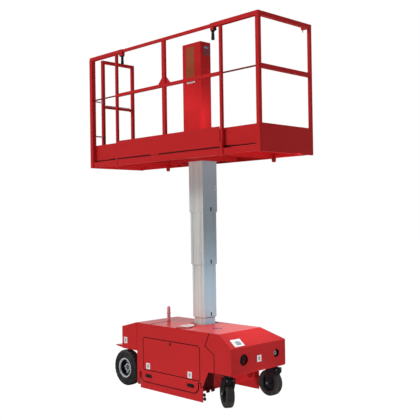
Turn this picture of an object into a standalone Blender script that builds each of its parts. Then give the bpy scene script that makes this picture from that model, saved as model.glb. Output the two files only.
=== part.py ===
"""Vertical mast lift: low self-propelled chassis, telescopic aluminium mast and a
guarded platform with a slide-out deck at each end, modelled with its mast part raised.

Metres, Z up. The origin is on the floor, below the middle of the platform.
+X points to the castor end, -Y to the long side with the guardrail.
"""
import math

import bmesh
import bpy
from mathutils import Matrix, Vector

# Fits
SEAT = 0.0003            # gap between pieces that touch
RUN = 0.0005             # gap at a sliding or turning seat
CLEAR = 0.005            # gap between pieces that pass each other
SEAM = 0.004             # visible joint between body panels
BITE = 0.001             # overlap of pieces that are fused
OVER = 0.010             # how far a cutter reaches past what it cuts

# Chassis bodywork
SHEET = 0.004
BODY_HALF_W = 0.3725
BODY_REAR_X = -0.702
BODY_FRONT_X = 0.855
TOP_Z = 0.665
TOP_REAR_X = -0.474      # the roof falls to the rear from here
TOP_FRONT_X = 0.705      # and to the front from here
REAR_EDGE_Z = 0.606
FRONT_EDGE_Z = 0.547
FRONT_BOTTOM_Z = 0.312
ARCH_Z = 0.381           # lower edge of the bodywork over the drive wheels
ARCH_X = -0.463          # front edge of the drive wheels' bay
BAY_X = 0.565            # rear edge of the castors' bay
FAR_FOLD_Y = BODY_HALF_W - 0.1805              # the roof folds down to the far side from here
HOOD_SEAM_X = 0.235
LAMP_Z = 0.431
LAMPS = ((-0.206, 0.052), (0.243, 0.039))      # round openings in the front, (y, radius)

# Side panels
PANEL_REAR_X = ARCH_X + SEAM / 2
PANEL_BOTTOM_Z = 0.092
PANEL_REAR_FOOT_Z = 0.058
PANEL_FRONT_BOTTOM_Z = 0.307
FAR_PANEL_TOP_Z = 0.523
PANEL_FRONT_X = 0.640
NEAR_PANEL_EDGE = [(0.585, TOP_Z), (0.545, 0.590), (0.523, 0.543)]   # down from the roof, (x, z)
FAR_PANEL_EDGE = [(0.523, FAR_PANEL_TOP_Z)]
PANEL_STEP_Z = 0.473     # the front edge reaches PANEL_FRONT_X here
PANEL_FEET = [(0.492, 0.165), (0.470, 0.165), (0.470, 0.195), (0.425, 0.195), (0.425, 0.130),
              (0.385, PANEL_BOTTOM_Z), (-0.360, PANEL_BOTTOM_Z), (-0.395, 0.130), (-0.395, 0.180),
              (-0.425, 0.180), (-0.425, PANEL_REAR_FOOT_Z)]   # lower edge with its hooks, to the rear
DOOR_X = (-0.361, 0.452)
DOOR_BOTTOM_Z = 0.213
DOOR_TOP_Z = {"near": 0.527, "far": 0.480}
DOOR_CORNER = 0.028
LIFT_SLOT_X = (-0.285, 0.325)
LIFT_SLOT_Z = 0.150
LIFT_SLOT = (0.104, 0.036)

# Ground guards behind the side panels
GUARD_X = (-0.417, 0.486)
GUARD_BOTTOM_Z = 0.018
GUARD_TOP_Z = 0.250
GUARD_BEVEL = (0.030, 0.095)                   # cut off the upper front corner, along and down
GUARD_SHEET = 0.005

# Chassis frame
PLATE = 0.006
TRAY_TOP_Z = 0.121
FRONT_WALL_X = 0.476
REAR_WALL_X = -0.440
EAR_Z = 0.335            # above this the walls reach the side panels
SHELF_Z = 0.304          # underside of the shelf that carries the castors
AXLE_SHELF_Z = 0.400     # underside of the shelf that carries the drive axle
BATTERY_X = (-0.340, 0.400)
BATTERY_Y = (0.0275 - BODY_HALF_W, -0.075)
BATTERY_TOP_Z = 0.400
POWER_X = (-0.420, -0.045)
POWER_Y = (-0.045, BODY_HALF_W - 0.0925)
POWER_TOP_Z = 0.360
STEP_X = (-0.832, BODY_REAR_X - SEAT)
STEP_Z = (0.380, 0.408)
STEP_EDGE_Z = (0.392, 0.400)                   # the ledge's rear edge
STEP_HALF_W = BODY_HALF_W - 0.0175
KNOB_X, KNOB_Y = -0.321, -0.064
KNOB_R = 0.017
KNOB_H = 0.145
KNOB_STEM_H = 0.128      # the rest is its tapered tip
KNOB_TIP_R = 0.010
KNOB_COLLAR = (0.0212, 0.075, 0.010)           # radius, height of its middle, thickness

# Mast, outermost section first
MAST_X = 0.091
MAST_Y = 0.053
MAST_WALL = 0.006
MAST_SIZES = (0.196, 0.1815, 0.165, 0.146)
MAST_STEP = 0.520        # how far each section stands out of the next
MAST_NEST_Z = 0.209      # where the moving sections' lower ends would meet
MAST_HEAD_Z = 2.600
HEAD_ROOM = 0.012        # step between the tops of nested sections
PAD_H = 0.040
GROOVE = (0.006, 0.003)  # width and depth
GROOVE_SHARE = 0.62      # place of a groove between a face's middle and its edge
HAND_SLOT = (0.018, 0.040)
HAND_SLOT_Y = 0.011
HAND_SLOT_RISE = 0.008
FOOT_SIZE = 0.210
FOOT_PLATE = 0.012
WELL_GAP = 0.007
COLLAR_REACH = 0.030     # how far the platform's collar stands out from the mast
COLLAR_RAIL = 0.024      # width of the two rails that carry the collar

# Drive wheels and axle
WHEEL_R = 0.182
WHEEL_X = -0.660
WHEEL_Y = BODY_HALF_W - 0.0425                 # middle of the tyre
TYRE_W = 0.100
RIM_R = 0.098
HUB_R = 0.032
HUB_BORE = 0.020
DISC_OFFSET = -0.012     # the rim's disc lies inboard of the tyre's middle
RIM_HOLES = 5
RIM_HOLE_R = 0.011
RIM_WALL = 0.010
RIM_INSET = 0.004        # the barrel stops this far inside the tyre's face
DISC_T = 0.008
HUB_OUT, HUB_IN = 0.010, 0.022                 # how far the hub stands out of the disc
TYRE_BEAD = 0.014        # height of the flat beside the rim
TYRE_SHOULDER = ((0.026, 0.0), (0.008, 0.006), (0.0, 0.018))   # below the tread, inside the face
LUGS = 24
LUG_GROOVE = (0.010, 0.005, 0.026)             # width, depth, reach from the shoulder
AXLE_TUBE_R = 0.028
MOTOR_R = 0.052
MOTOR_Y = (WHEEL_Y - 0.180, WHEEL_Y - 0.058)
STUB_OUT = 0.016         # the axle's end, outboard of the rim's disc
BRACKET_Y = 0.105
BRACKET_X = (-0.034, 0.050)                    # from the axle
BRACKET_T = 0.008
BRACKET_FOOT = 0.012     # how far the brackets reach below the axle's middle

# Castors
CASTOR_R = 0.125
CASTOR_W = 0.066
CASTOR_RIM_R = 0.078
CASTOR_X = 0.760
CASTOR_Y = BODY_HALF_W - 0.0605
CASTOR_TRAIL = 0.045
CASTOR_TURN = {"near": -29.0, "far": 0.0}
CASTOR_PLATE = (0.105, 0.085, 0.008)
CROWN_Z = (0.262, 0.274)
CROWN_X = (-0.056, 0.048)
CROWN_PAST = 0.004       # how far the crown stands out past the legs
SWIVEL_R = 0.040
FORK_GAP = 0.0045        # between a leg and the wheel's face
FORK_LEG = 0.005
FORK_LEG_X = (-0.055, 0.022)                   # a leg's upper corners
FORK_FOOT = ((0.019, -0.006), (0.010, -0.017))   # a leg's end round the axle, (x, z)
AXLE_NUT = (0.014, 0.010)                      # radius, height
CASTOR_BORE = 0.0095
CASTOR_HUB_R = 0.024
CASTOR_HUB_PAST = 0.003
CASTOR_DISC_HALF = 0.010
CASTOR_RIM_HALF = 0.029
CASTOR_RIM_WALL = 0.008
CASTOR_SHOULDER = ((0.016, 0.0), (0.003, 0.009), (0.0, 0.018))   # as for the drive tyre

# Platform
PLAT_HALF_L = 1.230
PLAT_HALF_W = 0.369
PLAT_BOTTOM_Z = 2.271
DECK_TRAVEL = 0.385
END_MEMBER = 0.050       # from a deck's outer end to its member's inner face
MAIN_HALF_L = PLAT_HALF_L - DECK_TRAVEL - END_MEMBER - CLEAR
FRAME_H = 0.062
FRAME_WALL = 0.003
CHANNEL_W = 0.024
STRAP = 0.0028           # thickness of the end posts' straps
FLOOR_SHEET = 0.004
CROSS_X = (0.040 - MAIN_HALF_L, -0.280, 0.280, MAIN_HALF_L - 0.040)
CROSS_W = 0.040
PAD_X = MAIN_HALF_L - 0.020
PAD_R = 0.012
PAD_BOTTOM_Z = 2.236
TOE_TOP_Z = 2.527
TOE_SLOT = 0.004         # gap below the toe boards
TOE_SHEET = 0.003
TOE_FLANGE = 0.0057
TOE_TABS = ((0.050 - MAIN_HALF_L, 0.250 - MAIN_HALF_L), (-0.200, -0.100))
POST_X = MAIN_HALF_L - 0.025
POST_MIDDLE = 0.044
POST_MIDDLE_X = -0.012
POST_END = 0.026
STRAP_BOTTOM_Z = 2.251
STRAP_TOP_Z = 2.400

# Rails
RAIL_TOP_Z = 3.471
THICK_RAIL = 0.038
RAIL_WALL = 0.003
THIN_RAIL = 0.027
MID_RAIL_Z = 3.005
MID_TUBE = 0.030
MID_ROD_R = 0.007
MID_BORE_R = 0.0085
GUSSET = (0.072, 0.080, 0.004)                 # reach, height, sheet

# Slide-out decks
DECK_INNER_X = MAIN_HALF_L - 0.190
DECK_SHEET_Z = (2.345, 2.349)
DECK_TOE_TOP_Z = 2.515
DECK_TOE_Y = PLAT_HALF_W - 0.038
BEAM_W = 0.012
STRIP_Y = PLAT_HALF_W - 0.119
STRIP_W = 0.020
SLEEVE_END_X = MAIN_HALF_L - 0.140             # inner end of a deck's top rail
SLEEVE_CAP = 0.010       # its outer end stops this far inside the corner
CORNER_POSTS = {"right": (0.036, 0.029), "left": (0.047, 0.0)}   # near, far
LOCK_LENGTH = 0.035
LOCK_BOTTOM_Z = RAIL_TOP_Z - 0.066
GRIP_LENGTH = 0.078
GRIP_R = (0.0125, 0.0160)                      # at its waist and at its top
GRIP_FOOT = (0.006, 0.0130, 0.0165)            # height and end radii of its flared foot
SOCKET_X = PLAT_HALF_L - 0.100
SOCKET = 0.028
SOCKET_PIN = (0.004, 0.030)                    # radius, length

# Entry portal and its sliding bar on the left deck
PORTAL_HALF_W = 0.205
PORTAL_TUBE = 0.032
PORTAL_TOP_Z = RAIL_TOP_Z - 0.006
PORTAL_OUTER_X = 0.0085 - PLAT_HALF_L
ENTRY_BAR_Z = 2.950
ENTRY_BAR = 0.028
ENTRY_BAR_HALF_T = 0.010
ENTRY_CHEEK = 0.004
CHEEK_LAP = 0.012        # how far the cheeks reach in past the uprights
END_RAILS_Z = (2.620, 3.000)
END_RAIL_R = 0.008

# Column and the cover over the mast's head
COLUMN_LO = (-0.067, -0.052)
COLUMN_HI = (0.194, 0.085)
COLUMN_TOP_Z = 3.449
COVER_SHEET = 0.003
COVER_X = (-0.020, 0.204)
COVER_REAR_Y = 0.170
COVER_TOP_Z = 2.612

RED = (0.50, 0.018, 0.022, 1.0)
ALUMINIUM = (0.62, 0.61, 0.59, 1.0)
BLACK = (0.015, 0.015, 0.016, 1.0)
STEEL = (0.45, 0.46, 0.47, 1.0)

SIDES = {"near": -1, "far": 1}
ENDS = {"right": 1, "left": -1}


def empty_scene():
    for obj in list(bpy.data.objects):
        bpy.data.objects.remove(obj, do_unlink=True)


def new_collection(name):
    collection = bpy.data.collections.new(name)
    bpy.context.scene.collection.children.link(collection)
    return collection


def material(name, colour, roughness, metallic):
    mat = bpy.data.materials.new(name)
    mat.use_nodes = True
    shader = mat.node_tree.nodes["Principled BSDF"]
    shader.inputs["Base Color"].default_value = colour
    shader.inputs["Roughness"].default_value = roughness
    shader.inputs["Metallic"].default_value = metallic
    mat.diffuse_color = colour
    return mat


empty_scene()
MODEL = new_collection("vertical_mast_lift")
RED_PAINT = material("red_paint", RED, 0.35, 0.0)
ALLOY = material("aluminium", ALUMINIUM, 0.35, 0.9)
RUBBER = material("black_rubber", BLACK, 0.85, 0.0)
BLACK_PAINT = material("black_paint", BLACK, 0.45, 0.0)
ZINC = material("zinc_steel", STEEL, 0.35, 0.9)


def stand(name, mesh):
    """Put a mesh or curve in the model as an object."""
    obj = bpy.data.objects.new(name, mesh)
    MODEL.objects.link(obj)
    return obj


def mesh_of(bm):
    bmesh.ops.recalc_face_normals(bm, faces=bm.faces)
    mesh = bpy.data.meshes.new("form")
    bm.to_mesh(mesh)
    bm.free()
    return mesh


def box(corner, other):
    """A box between two opposite corners."""
    corner, other = Vector(corner), Vector(other)
    size = other - corner
    bm = bmesh.new()
    bmesh.ops.create_cube(bm, size=1.0)
    place = Matrix.Translation((corner + other) / 2) @ Matrix.Diagonal((*size, 1.0))
    bmesh.ops.transform(bm, verts=bm.verts, matrix=place)
    return stand("box", mesh_of(bm))


def rod(centre, axis, radius, length, sides=24, radius_end=None):
    """A cylinder or cone about an axis, centred on a point."""
    bm = bmesh.new()
    bmesh.ops.create_cone(bm, cap_ends=True, segments=sides, radius1=radius,
                          radius2=radius if radius_end is None else radius_end, depth=length)
    turn = Vector((0, 0, 1)).rotation_difference(Vector(axis)).to_matrix().to_4x4()
    bmesh.ops.transform(bm, verts=bm.verts, matrix=Matrix.Translation(centre) @ turn)
    return stand("rod", mesh_of(bm))


def baked(obj):
    """Replace an object by its evaluated mesh, welded, without modifiers."""
    bpy.context.view_layer.update()
    graph = bpy.context.evaluated_depsgraph_get()
    mesh = bpy.data.meshes.new_from_object(obj.evaluated_get(graph))
    bm = bmesh.new()
    bm.from_mesh(mesh)
    bmesh.ops.remove_doubles(bm, verts=bm.verts, dist=0.00001)
    bmesh.ops.recalc_face_normals(bm, faces=bm.faces)
    bm.to_mesh(mesh)
    bm.free()
    out = stand("form", mesh)
    out.matrix_world = obj.matrix_world
    bpy.data.objects.remove(obj, do_unlink=True)
    return out


def slab(outlines, axis, start, end):
    """Closed outlines, the first the rim and the rest holes, extruded along an axis.

    Outline points are (x, z) for axis Y, (y, z) for axis X and (x, y) for axis Z."""
    low, high = sorted((start, end))
    curve = bpy.data.curves.new("outline", "CURVE")
    curve.dimensions = "2D"
    curve.fill_mode = "BOTH"
    curve.extrude = (high - low) / 2
    for points in outlines:
        spline = curve.splines.new("POLY")
        spline.points.add(len(points) - 1)
        for point, (u, v) in zip(spline.points, points):
            point.co = (u, v, 0, 1)
        spline.use_cyclic_u = True
    middle = (high + low) / 2
    turned = {
        "X": Matrix(((0, 0, 1, middle), (1, 0, 0, 0), (0, 1, 0, 0), (0, 0, 0, 1))),
        "Y": Matrix(((1, 0, 0, 0), (0, 0, -1, middle), (0, 1, 0, 0), (0, 0, 0, 1))),
        "Z": Matrix.Translation((0, 0, middle)),
    }
    form = baked(stand("slab", curve))
    form.data.transform(turned[axis])
    return form


def lathe(profile, sides=32):
    """A closed ring of (radius, along) points turned about local Y."""
    bm = bmesh.new()
    verts = [bm.verts.new((radius, along, 0)) for radius, along in profile]
    for a, b in zip(verts, verts[1:] + verts[:1]):
        bm.edges.new((a, b))
    mesh = bpy.data.meshes.new("profile")
    bm.to_mesh(mesh)
    bm.free()
    obj = stand("lathe", mesh)
    screw = obj.modifiers.new("turn", "SCREW")
    screw.axis = "Y"
    screw.steps = sides
    screw.render_steps = sides
    screw.use_merge_vertices = True
    screw.merge_threshold = 0.00001
    return baked(obj)


def combine(base, others, operation):
    for other in others:
        step = base.modifiers.new("with", "BOOLEAN")
        step.operation = operation
        step.solver = "EXACT"
        step.object = other
    out = baked(base)
    for other in others:
        bpy.data.objects.remove(other, do_unlink=True)
    return out


def fuse(pieces):
    return combine(pieces[0], pieces[1:], "UNION")


def cut(base, cutters):
    return combine(base, cutters, "DIFFERENCE")


def scattered(pieces):
    """Pieces that don't touch, as one mesh, for use as a cutter."""
    bm = bmesh.new()
    for piece in pieces:
        bm.from_mesh(piece.data)
        bpy.data.objects.remove(piece, do_unlink=True)
    return stand("cutters", mesh_of(bm))


def mirrored(obj, axis):
    """The same piece on the other side of the plane across an axis."""
    obj.data.transform(Matrix.Scale(-1, 4, axis))
    obj.data.flip_normals()
    return obj


def to_side(obj, side):
    """A piece built for the near side, put on the side that is named."""
    return obj if side == "near" else mirrored(obj, (0, 1, 0))


def finish(name, form, mat, pivot=(0, 0, 0)):
    """Name a finished piece and put its origin on its pivot."""
    form.name = name
    form.data.name = name
    form.data.materials.clear()
    form.data.materials.append(mat)
    form.data.transform(Matrix.Translation(-Vector(pivot)))
    form.location = pivot
    form.data.shade_smooth()
    form.data.set_sharp_from_angle(angle=math.radians(35))
    return form


def rect(u0, v0, u1, v1):
    return [(u0, v0), (u1, v0), (u1, v1), (u0, v1)]


def rounded(points, radius, only=None, steps=5):
    """An outline with its corners, or those whose index is in only, made arcs."""
    out = []
    for i, point in enumerate(points):
        if only is not None and i not in only:
            out.append(point)
            continue
        corner = Vector(point)
        before = (Vector(points[i - 1]) - corner).normalized()
        after = (Vector(points[(i + 1) % len(points)]) - corner).normalized()
        half = before.angle(after) / 2
        centre = corner + (before + after).normalized() * (radius / math.sin(half))
        start = corner + before * (radius / math.tan(half)) - centre
        end = corner + after * (radius / math.tan(half)) - centre
        swing = math.atan2(start.x * end.y - start.y * end.x, start.dot(end))
        for k in range(steps + 1):
            angle = swing * k / steps
            out.append((centre.x + start.x * math.cos(angle) - start.y * math.sin(angle),
                        centre.y + start.x * math.sin(angle) + start.y * math.cos(angle)))
    return out


def u_section(u0, v0, u1, v1, wall):
    """An upside-down U, open below."""
    return [(u0, v0), (u0, v1), (u1, v1), (u1, v0), (u1 - wall, v0), (u1 - wall, v1 - wall),
            (u0 + wall, v1 - wall), (u0 + wall, v0)]


# Chassis bodywork

def body_profile(inset, drop):
    """The bodywork from the side, (x, z), drawn in by an inset and let down by a drop."""
    return [(BODY_REAR_X + inset, ARCH_Z - drop), (BODY_REAR_X + inset, REAR_EDGE_Z - inset),
            (TOP_REAR_X + inset * 0.2, TOP_Z - inset), (TOP_FRONT_X - inset * 0.4, TOP_Z - inset),
            (BODY_FRONT_X - inset, FRONT_EDGE_Z - inset * 0.4),
            (BODY_FRONT_X - inset, FRONT_BOTTOM_Z - drop),
            (BAY_X, PANEL_FRONT_BOTTOM_Z - drop), (BAY_X, ARCH_Z - drop)]


def fold_line(y, inset=0.0):
    """Height of the folded roof over the far side at a given y."""
    slope = (TOP_Z - FRONT_EDGE_Z) / (BODY_HALF_W - FAR_FOLD_Y)
    return TOP_Z - inset - slope * (y - FAR_FOLD_Y)


def envelope(inset=0.0, drop=0.0):
    """The bodywork as a block, with the fold along its far side."""
    block = slab([body_profile(inset, drop)], "Y", -BODY_HALF_W + inset, BODY_HALF_W - inset)
    beyond = BODY_HALF_W * 2
    wedge = slab([[(FAR_FOLD_Y, TOP_Z - inset), (beyond, fold_line(beyond, inset)),
                   (beyond, TOP_Z * 2), (FAR_FOLD_Y, TOP_Z * 2)]],
                 "X", BODY_REAR_X * 2, BODY_FRONT_X * 2)
    return cut(block, [wedge])


def panel_front(side, grow=0.0):
    """The side panel's upper and front edge, from its rear top corner, (x, z)."""
    edge = NEAR_PANEL_EDGE if side == "near" else FAR_PANEL_EDGE
    top = edge[0][1] + grow
    outline = [(PANEL_REAR_X - grow, top), (edge[0][0] + grow, top)]
    outline += [(x + grow, z) for x, z in edge[1:]]
    return outline + [(PANEL_FRONT_X + grow, PANEL_STEP_Z), (PANEL_FRONT_X + grow, PANEL_FRONT_BOTTOM_Z)]


def hood(x0, x1):
    """The sheet bodywork between x0 and x1, cut back to make room for the side panels."""
    shell = cut(envelope(), [envelope(SHEET, TOP_Z / 2)])
    shell = combine(shell, [box((x0, -1, 0), (x1, 1, 1))], "INTERSECT")
    for side in SIDES:
        edge = panel_front(side, SEAM)
        outline = [(edge[0][0], 0)] + edge + [(edge[-1][0], 0)]
        room = slab([outline], "Y", -BODY_HALF_W * 2, -BODY_HALF_W + SHEET + SEAT)
        shell = cut(shell, [to_side(room, side)])
    return shell


def mast_well():
    half = MAST_SIZES[0] / 2 + WELL_GAP
    return box((MAST_X - half, MAST_Y - half, 0), (MAST_X + half, MAST_Y + half, 1))


def front_hood():
    form = hood(HOOD_SEAM_X + SEAM / 2, BODY_FRONT_X * 2)
    lamps = [rod((BODY_FRONT_X, y, LAMP_Z), (1, 0, 0), radius, 0.1, 28) for y, radius in LAMPS]
    finish("front_hood", cut(form, lamps), RED_PAINT)


def rear_cover():
    form = hood(BODY_REAR_X * 2, HOOD_SEAM_X - SEAM / 2)
    finish("rear_cover", cut(form, [mast_well()]), RED_PAINT)


def door_outline(side, grow=0.0):
    outline = rect(DOOR_X[0] - grow, DOOR_BOTTOM_Z, DOOR_X[1] + grow, DOOR_TOP_Z[side] + grow)
    return rounded(outline, DOOR_CORNER + grow, only=(2, 3))


def side_panel(side):
    lower = [(BAY_X, PANEL_FRONT_BOTTOM_Z)] + PANEL_FEET + [(PANEL_REAR_X, PANEL_REAR_FOOT_Z)]
    opening = door_outline(side, SEAM)
    opening[0] = (opening[0][0], DOOR_BOTTOM_Z - RUN)
    opening[1] = (opening[1][0], DOOR_BOTTOM_Z - RUN)
    half_l, half_h = LIFT_SLOT[0] / 2, LIFT_SLOT[1] / 2
    slots = [rounded(rect(x - half_l, LIFT_SLOT_Z - half_h, x + half_l, LIFT_SLOT_Z + half_h),
                     half_h * 0.98) for x in LIFT_SLOT_X]
    form = slab([panel_front(side) + lower, opening] + slots,
                "Y", -BODY_HALF_W, -BODY_HALF_W + SHEET)
    finish("side_panel_" + side, to_side(form, side), RED_PAINT)


def side_door(side):
    form = slab([door_outline(side)], "Y", -BODY_HALF_W, -BODY_HALF_W + SHEET)
    pivot = (sum(DOOR_X) / 2, SIDES[side] * BODY_HALF_W, DOOR_BOTTOM_Z)
    finish("side_door_" + side, to_side(form, side), RED_PAINT, pivot)


def ground_guard(side):
    along, down = GUARD_BEVEL
    outline = [(GUARD_X[0], GUARD_BOTTOM_Z), (GUARD_X[1], GUARD_BOTTOM_Z),
               (GUARD_X[1], GUARD_TOP_Z - down), (GUARD_X[1] - along, GUARD_TOP_Z),
               (GUARD_X[0], GUARD_TOP_Z)]
    outer = -BODY_HALF_W + SHEET + RUN
    form = slab([outline], "Y", outer, outer + GUARD_SHEET)
    finish("ground_guard_" + side, to_side(form, side), RED_PAINT)


def inside_panels():
    """Half the width between the side panels."""
    return BODY_HALF_W - SHEET - SEAT


def inside_guards():
    """Half the width between the ground guards."""
    return BODY_HALF_W - SHEET - GUARD_SHEET - 2 * RUN


def cross_wall(x):
    """A wall across the chassis, up to the roof and, above the guards, out to the panels."""
    inner, low = inside_panels(), inside_guards()
    top = TOP_Z - SHEET - SEAT
    ear = EAR_Z + inner - low
    outline = [(-low, TRAY_TOP_Z - PLATE / 2), (low, TRAY_TOP_Z - PLATE / 2), (low, EAR_Z),
               (inner, ear), (inner, fold_line(inner, SHEET + SEAT)), (FAR_FOLD_Y - SEAT, top),
               (-inner, top), (-inner, ear), (-low, EAR_Z)]
    return slab([outline], "X", x - PLATE, x)


def chassis_frame():
    """Welded tray with two cross walls, the castors' shelf and the drive axle's shelf."""
    inner, low = inside_panels(), inside_guards() - BITE
    pieces = [box((REAR_WALL_X - PLATE + RUN, -low, TRAY_TOP_Z - PLATE),
                  (FRONT_WALL_X - RUN, low, TRAY_TOP_Z)),
              cross_wall(FRONT_WALL_X), cross_wall(REAR_WALL_X),
              box((FRONT_WALL_X - PLATE / 2, -low, SHELF_Z),
                  (BODY_FRONT_X, low, FRONT_BOTTOM_Z - SEAT)),
              box((BODY_REAR_X + SHEET + SEAT, -inner, AXLE_SHELF_Z),
                  (REAR_WALL_X - PLATE / 2, inner, AXLE_SHELF_Z + PLATE))]
    half_l, half_w, thick = CASTOR_PLATE[0] / 2, CASTOR_PLATE[1] / 2, CASTOR_PLATE[2]
    for sign in SIDES.values():
        pieces.append(box((CASTOR_X - half_l, sign * CASTOR_Y - half_w, SHELF_Z - thick),
                          (CASTOR_X + half_l, sign * CASTOR_Y + half_w, SHELF_Z + SEAT)))
    finish("chassis_frame", fuse(pieces), RED_PAINT)


def heavy_blocks():
    """The battery pack and the hydraulic power unit, as plain blocks on the tray."""
    seat = TRAY_TOP_Z + SEAT
    blocks = {"battery_pack": (BATTERY_X, BATTERY_Y, BATTERY_TOP_Z),
              "power_unit": (POWER_X, POWER_Y, POWER_TOP_Z)}
    for name, ((x0, x1), (y0, y1), top) in blocks.items():
        finish(name, box((x0, y0, seat), (x1, y1, top)), BLACK_PAINT)


def rear_step():
    """A narrow bumper ledge that tapers to the rear."""
    low, high = STEP_Z
    outline = [(STEP_X[1], low), (STEP_X[1], high), (STEP_X[0], STEP_EDGE_Z[1]), (STEP_X[0], STEP_EDGE_Z[0])]
    finish("rear_step", slab([outline], "Y", -STEP_HALF_W, STEP_HALF_W), RED_PAINT)


def rear_knob():
    """Upright stub with a collar on the roof."""
    base = TOP_Z + SEAT
    collar_r, collar_z, collar_t = KNOB_COLLAR
    pieces = [rod((KNOB_X, KNOB_Y, base + KNOB_STEM_H / 2), (0, 0, 1), KNOB_R, KNOB_STEM_H),
              rod((KNOB_X, KNOB_Y, base + (KNOB_STEM_H + KNOB_H) / 2), (0, 0, 1), KNOB_R,
                  KNOB_H - KNOB_STEM_H, radius_end=KNOB_TIP_R),
              rod((KNOB_X, KNOB_Y, base + collar_z), (0, 0, 1), collar_r, collar_t)]
    finish("rear_knob", fuse(pieces), RED_PAINT)


# Drive axle and wheels

def drive_axle():
    pieces = [rod((WHEEL_X, 0, WHEEL_R), (0, 1, 0), AXLE_TUBE_R, 2 * MOTOR_Y[0] + OVER)]
    motor_l = MOTOR_Y[1] - MOTOR_Y[0]
    stub_in, stub_out = MOTOR_Y[1] - OVER, WHEEL_Y + DISC_OFFSET + STUB_OUT
    x0, x1 = WHEEL_X + BRACKET_X[0], WHEEL_X + BRACKET_X[1]
    for sign in SIDES.values():
        pieces.append(rod((WHEEL_X, sign * sum(MOTOR_Y) / 2, WHEEL_R), (0, 1, 0), MOTOR_R, motor_l))
        pieces.append(rod((WHEEL_X, sign * (stub_in + stub_out) / 2, WHEEL_R), (0, 1, 0),
                          HUB_BORE - RUN, stub_out - stub_in))
        pieces.append(box((x0, sign * BRACKET_Y - BRACKET_T / 2, WHEEL_R - BRACKET_FOOT),
                          (x1, sign * BRACKET_Y + BRACKET_T / 2, AXLE_SHELF_Z - SEAT)))
    finish("drive_axle", fuse(pieces), BLACK_PAINT)


def drive_rim(side):
    """Wheel centre: barrel, recessed disc with holes and a hub. Built about Y at the origin."""
    half = TYRE_W / 2 - RIM_INSET
    barrel = RIM_R - SEAT
    well = barrel - RIM_WALL
    disc_in, disc_out = DISC_OFFSET, DISC_OFFSET + DISC_T
    hub_in, hub_out = disc_in - HUB_IN, disc_out + HUB_OUT
    outward = [(HUB_BORE, hub_in), (HUB_R, hub_in), (HUB_R, disc_in), (well, disc_in), (well, -half),
               (barrel, -half), (barrel, half), (well, half), (well, disc_out), (HUB_R, disc_out),
               (HUB_R, hub_out), (HUB_BORE, hub_out)]
    form = lathe([(r, -o) for r, o in outward], 40)
    spokes = [2 * math.pi * k / RIM_HOLES for k in range(RIM_HOLES)]
    middle = (HUB_R + well) / 2
    holes = [rod((middle * math.cos(a), 0, middle * math.sin(a)), (0, 1, 0), RIM_HOLE_R, TYRE_W, 16)
             for a in spokes]
    form = cut(form, holes)
    place_wheel("drive_rim_" + side, form, side, ZINC)


def drive_tyre(side):
    """Block tyre with grooves across both shoulders."""
    half = TYRE_W / 2
    outline = [(RIM_R, half - RIM_INSET), (RIM_R + TYRE_BEAD, half)]
    outline += [(WHEEL_R - down, half - inset) for down, inset in TYRE_SHOULDER]
    outline += [(r, -o) for r, o in reversed(outline)]
    form = lathe([(r, -o) for r, o in outline], LUGS * 2)
    width, depth, reach = LUG_GROOVE
    grooves = []
    for k in range(LUGS):
        turn = Matrix.Rotation(2 * math.pi * (k + 0.25) / LUGS, 4, "Y")
        for sign in (-1, 1):
            groove = box((-width / 2, sign * (half - reach), WHEEL_R - depth),
                         (width / 2, sign * (half + OVER), WHEEL_R + OVER))
            groove.data.transform(turn)
            grooves.append(groove)
    place_wheel("drive_tyre_" + side, cut(form, [scattered(grooves)]), side, RUBBER)


def place_wheel(name, form, side, mat):
    centre = (WHEEL_X, SIDES[side] * WHEEL_Y, WHEEL_R)
    form = to_side(form, side)
    form.data.transform(Matrix.Translation(centre))
    finish(name, form, mat, centre)


# Castors, built with the swivel axis at the origin and the wheel trailing to -X

def swivelled(form, side):
    """Turn a castor's piece about its swivel axis and put it below the shelf."""
    turn = Matrix.Rotation(math.radians(CASTOR_TURN[side]), 4, "Z")
    form.data.transform(Matrix.Translation((CASTOR_X, SIDES[side] * CASTOR_Y, 0)) @ turn)
    return form


def castor_axle_point(side):
    angle = math.radians(CASTOR_TURN[side])
    return (CASTOR_X - CASTOR_TRAIL * math.cos(angle),
            SIDES[side] * CASTOR_Y - CASTOR_TRAIL * math.sin(angle), CASTOR_R)


def castor_fork(side):
    leg_in = CASTOR_W / 2 + FORK_GAP
    leg_out = leg_in + FORK_LEG
    low, high = CROWN_Z
    crown_half = leg_out + CROWN_PAST
    plate_z = SHELF_Z - CASTOR_PLATE[2]
    pieces = [box((CROWN_X[0], -crown_half, low), (CROWN_X[1], crown_half, high)),
              rod((0, 0, (low + plate_z) / 2 + RUN), (0, 0, 1), SWIVEL_R, plate_z - low - 4 * RUN)]
    leg_top = (low + high) / 2
    leg = [(FORK_LEG_X[0], leg_top), (FORK_LEG_X[1], leg_top)]
    leg += [(-CASTOR_TRAIL + x, CASTOR_R + z) for x, z in FORK_FOOT]
    leg += [(-CASTOR_TRAIL - x, CASTOR_R + z) for x, z in reversed(FORK_FOOT)]
    nut_r, nut_h = AXLE_NUT
    for sign in SIDES.values():
        pieces.append(slab([leg], "Y", sign * leg_in, sign * leg_out))
        pieces.append(rod((-CASTOR_TRAIL, sign * (leg_out + 2 * BITE), CASTOR_R), (0, 1, 0), nut_r, nut_h, 6))
    pieces.append(rod((-CASTOR_TRAIL, 0, CASTOR_R), (0, 1, 0), CASTOR_BORE - RUN, 2 * leg_out, 20))
    pivot = (CASTOR_X, SIDES[side] * CASTOR_Y, SHELF_Z)
    finish("castor_fork_" + side, swivelled(fuse(pieces), side), BLACK_PAINT, pivot)


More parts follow.
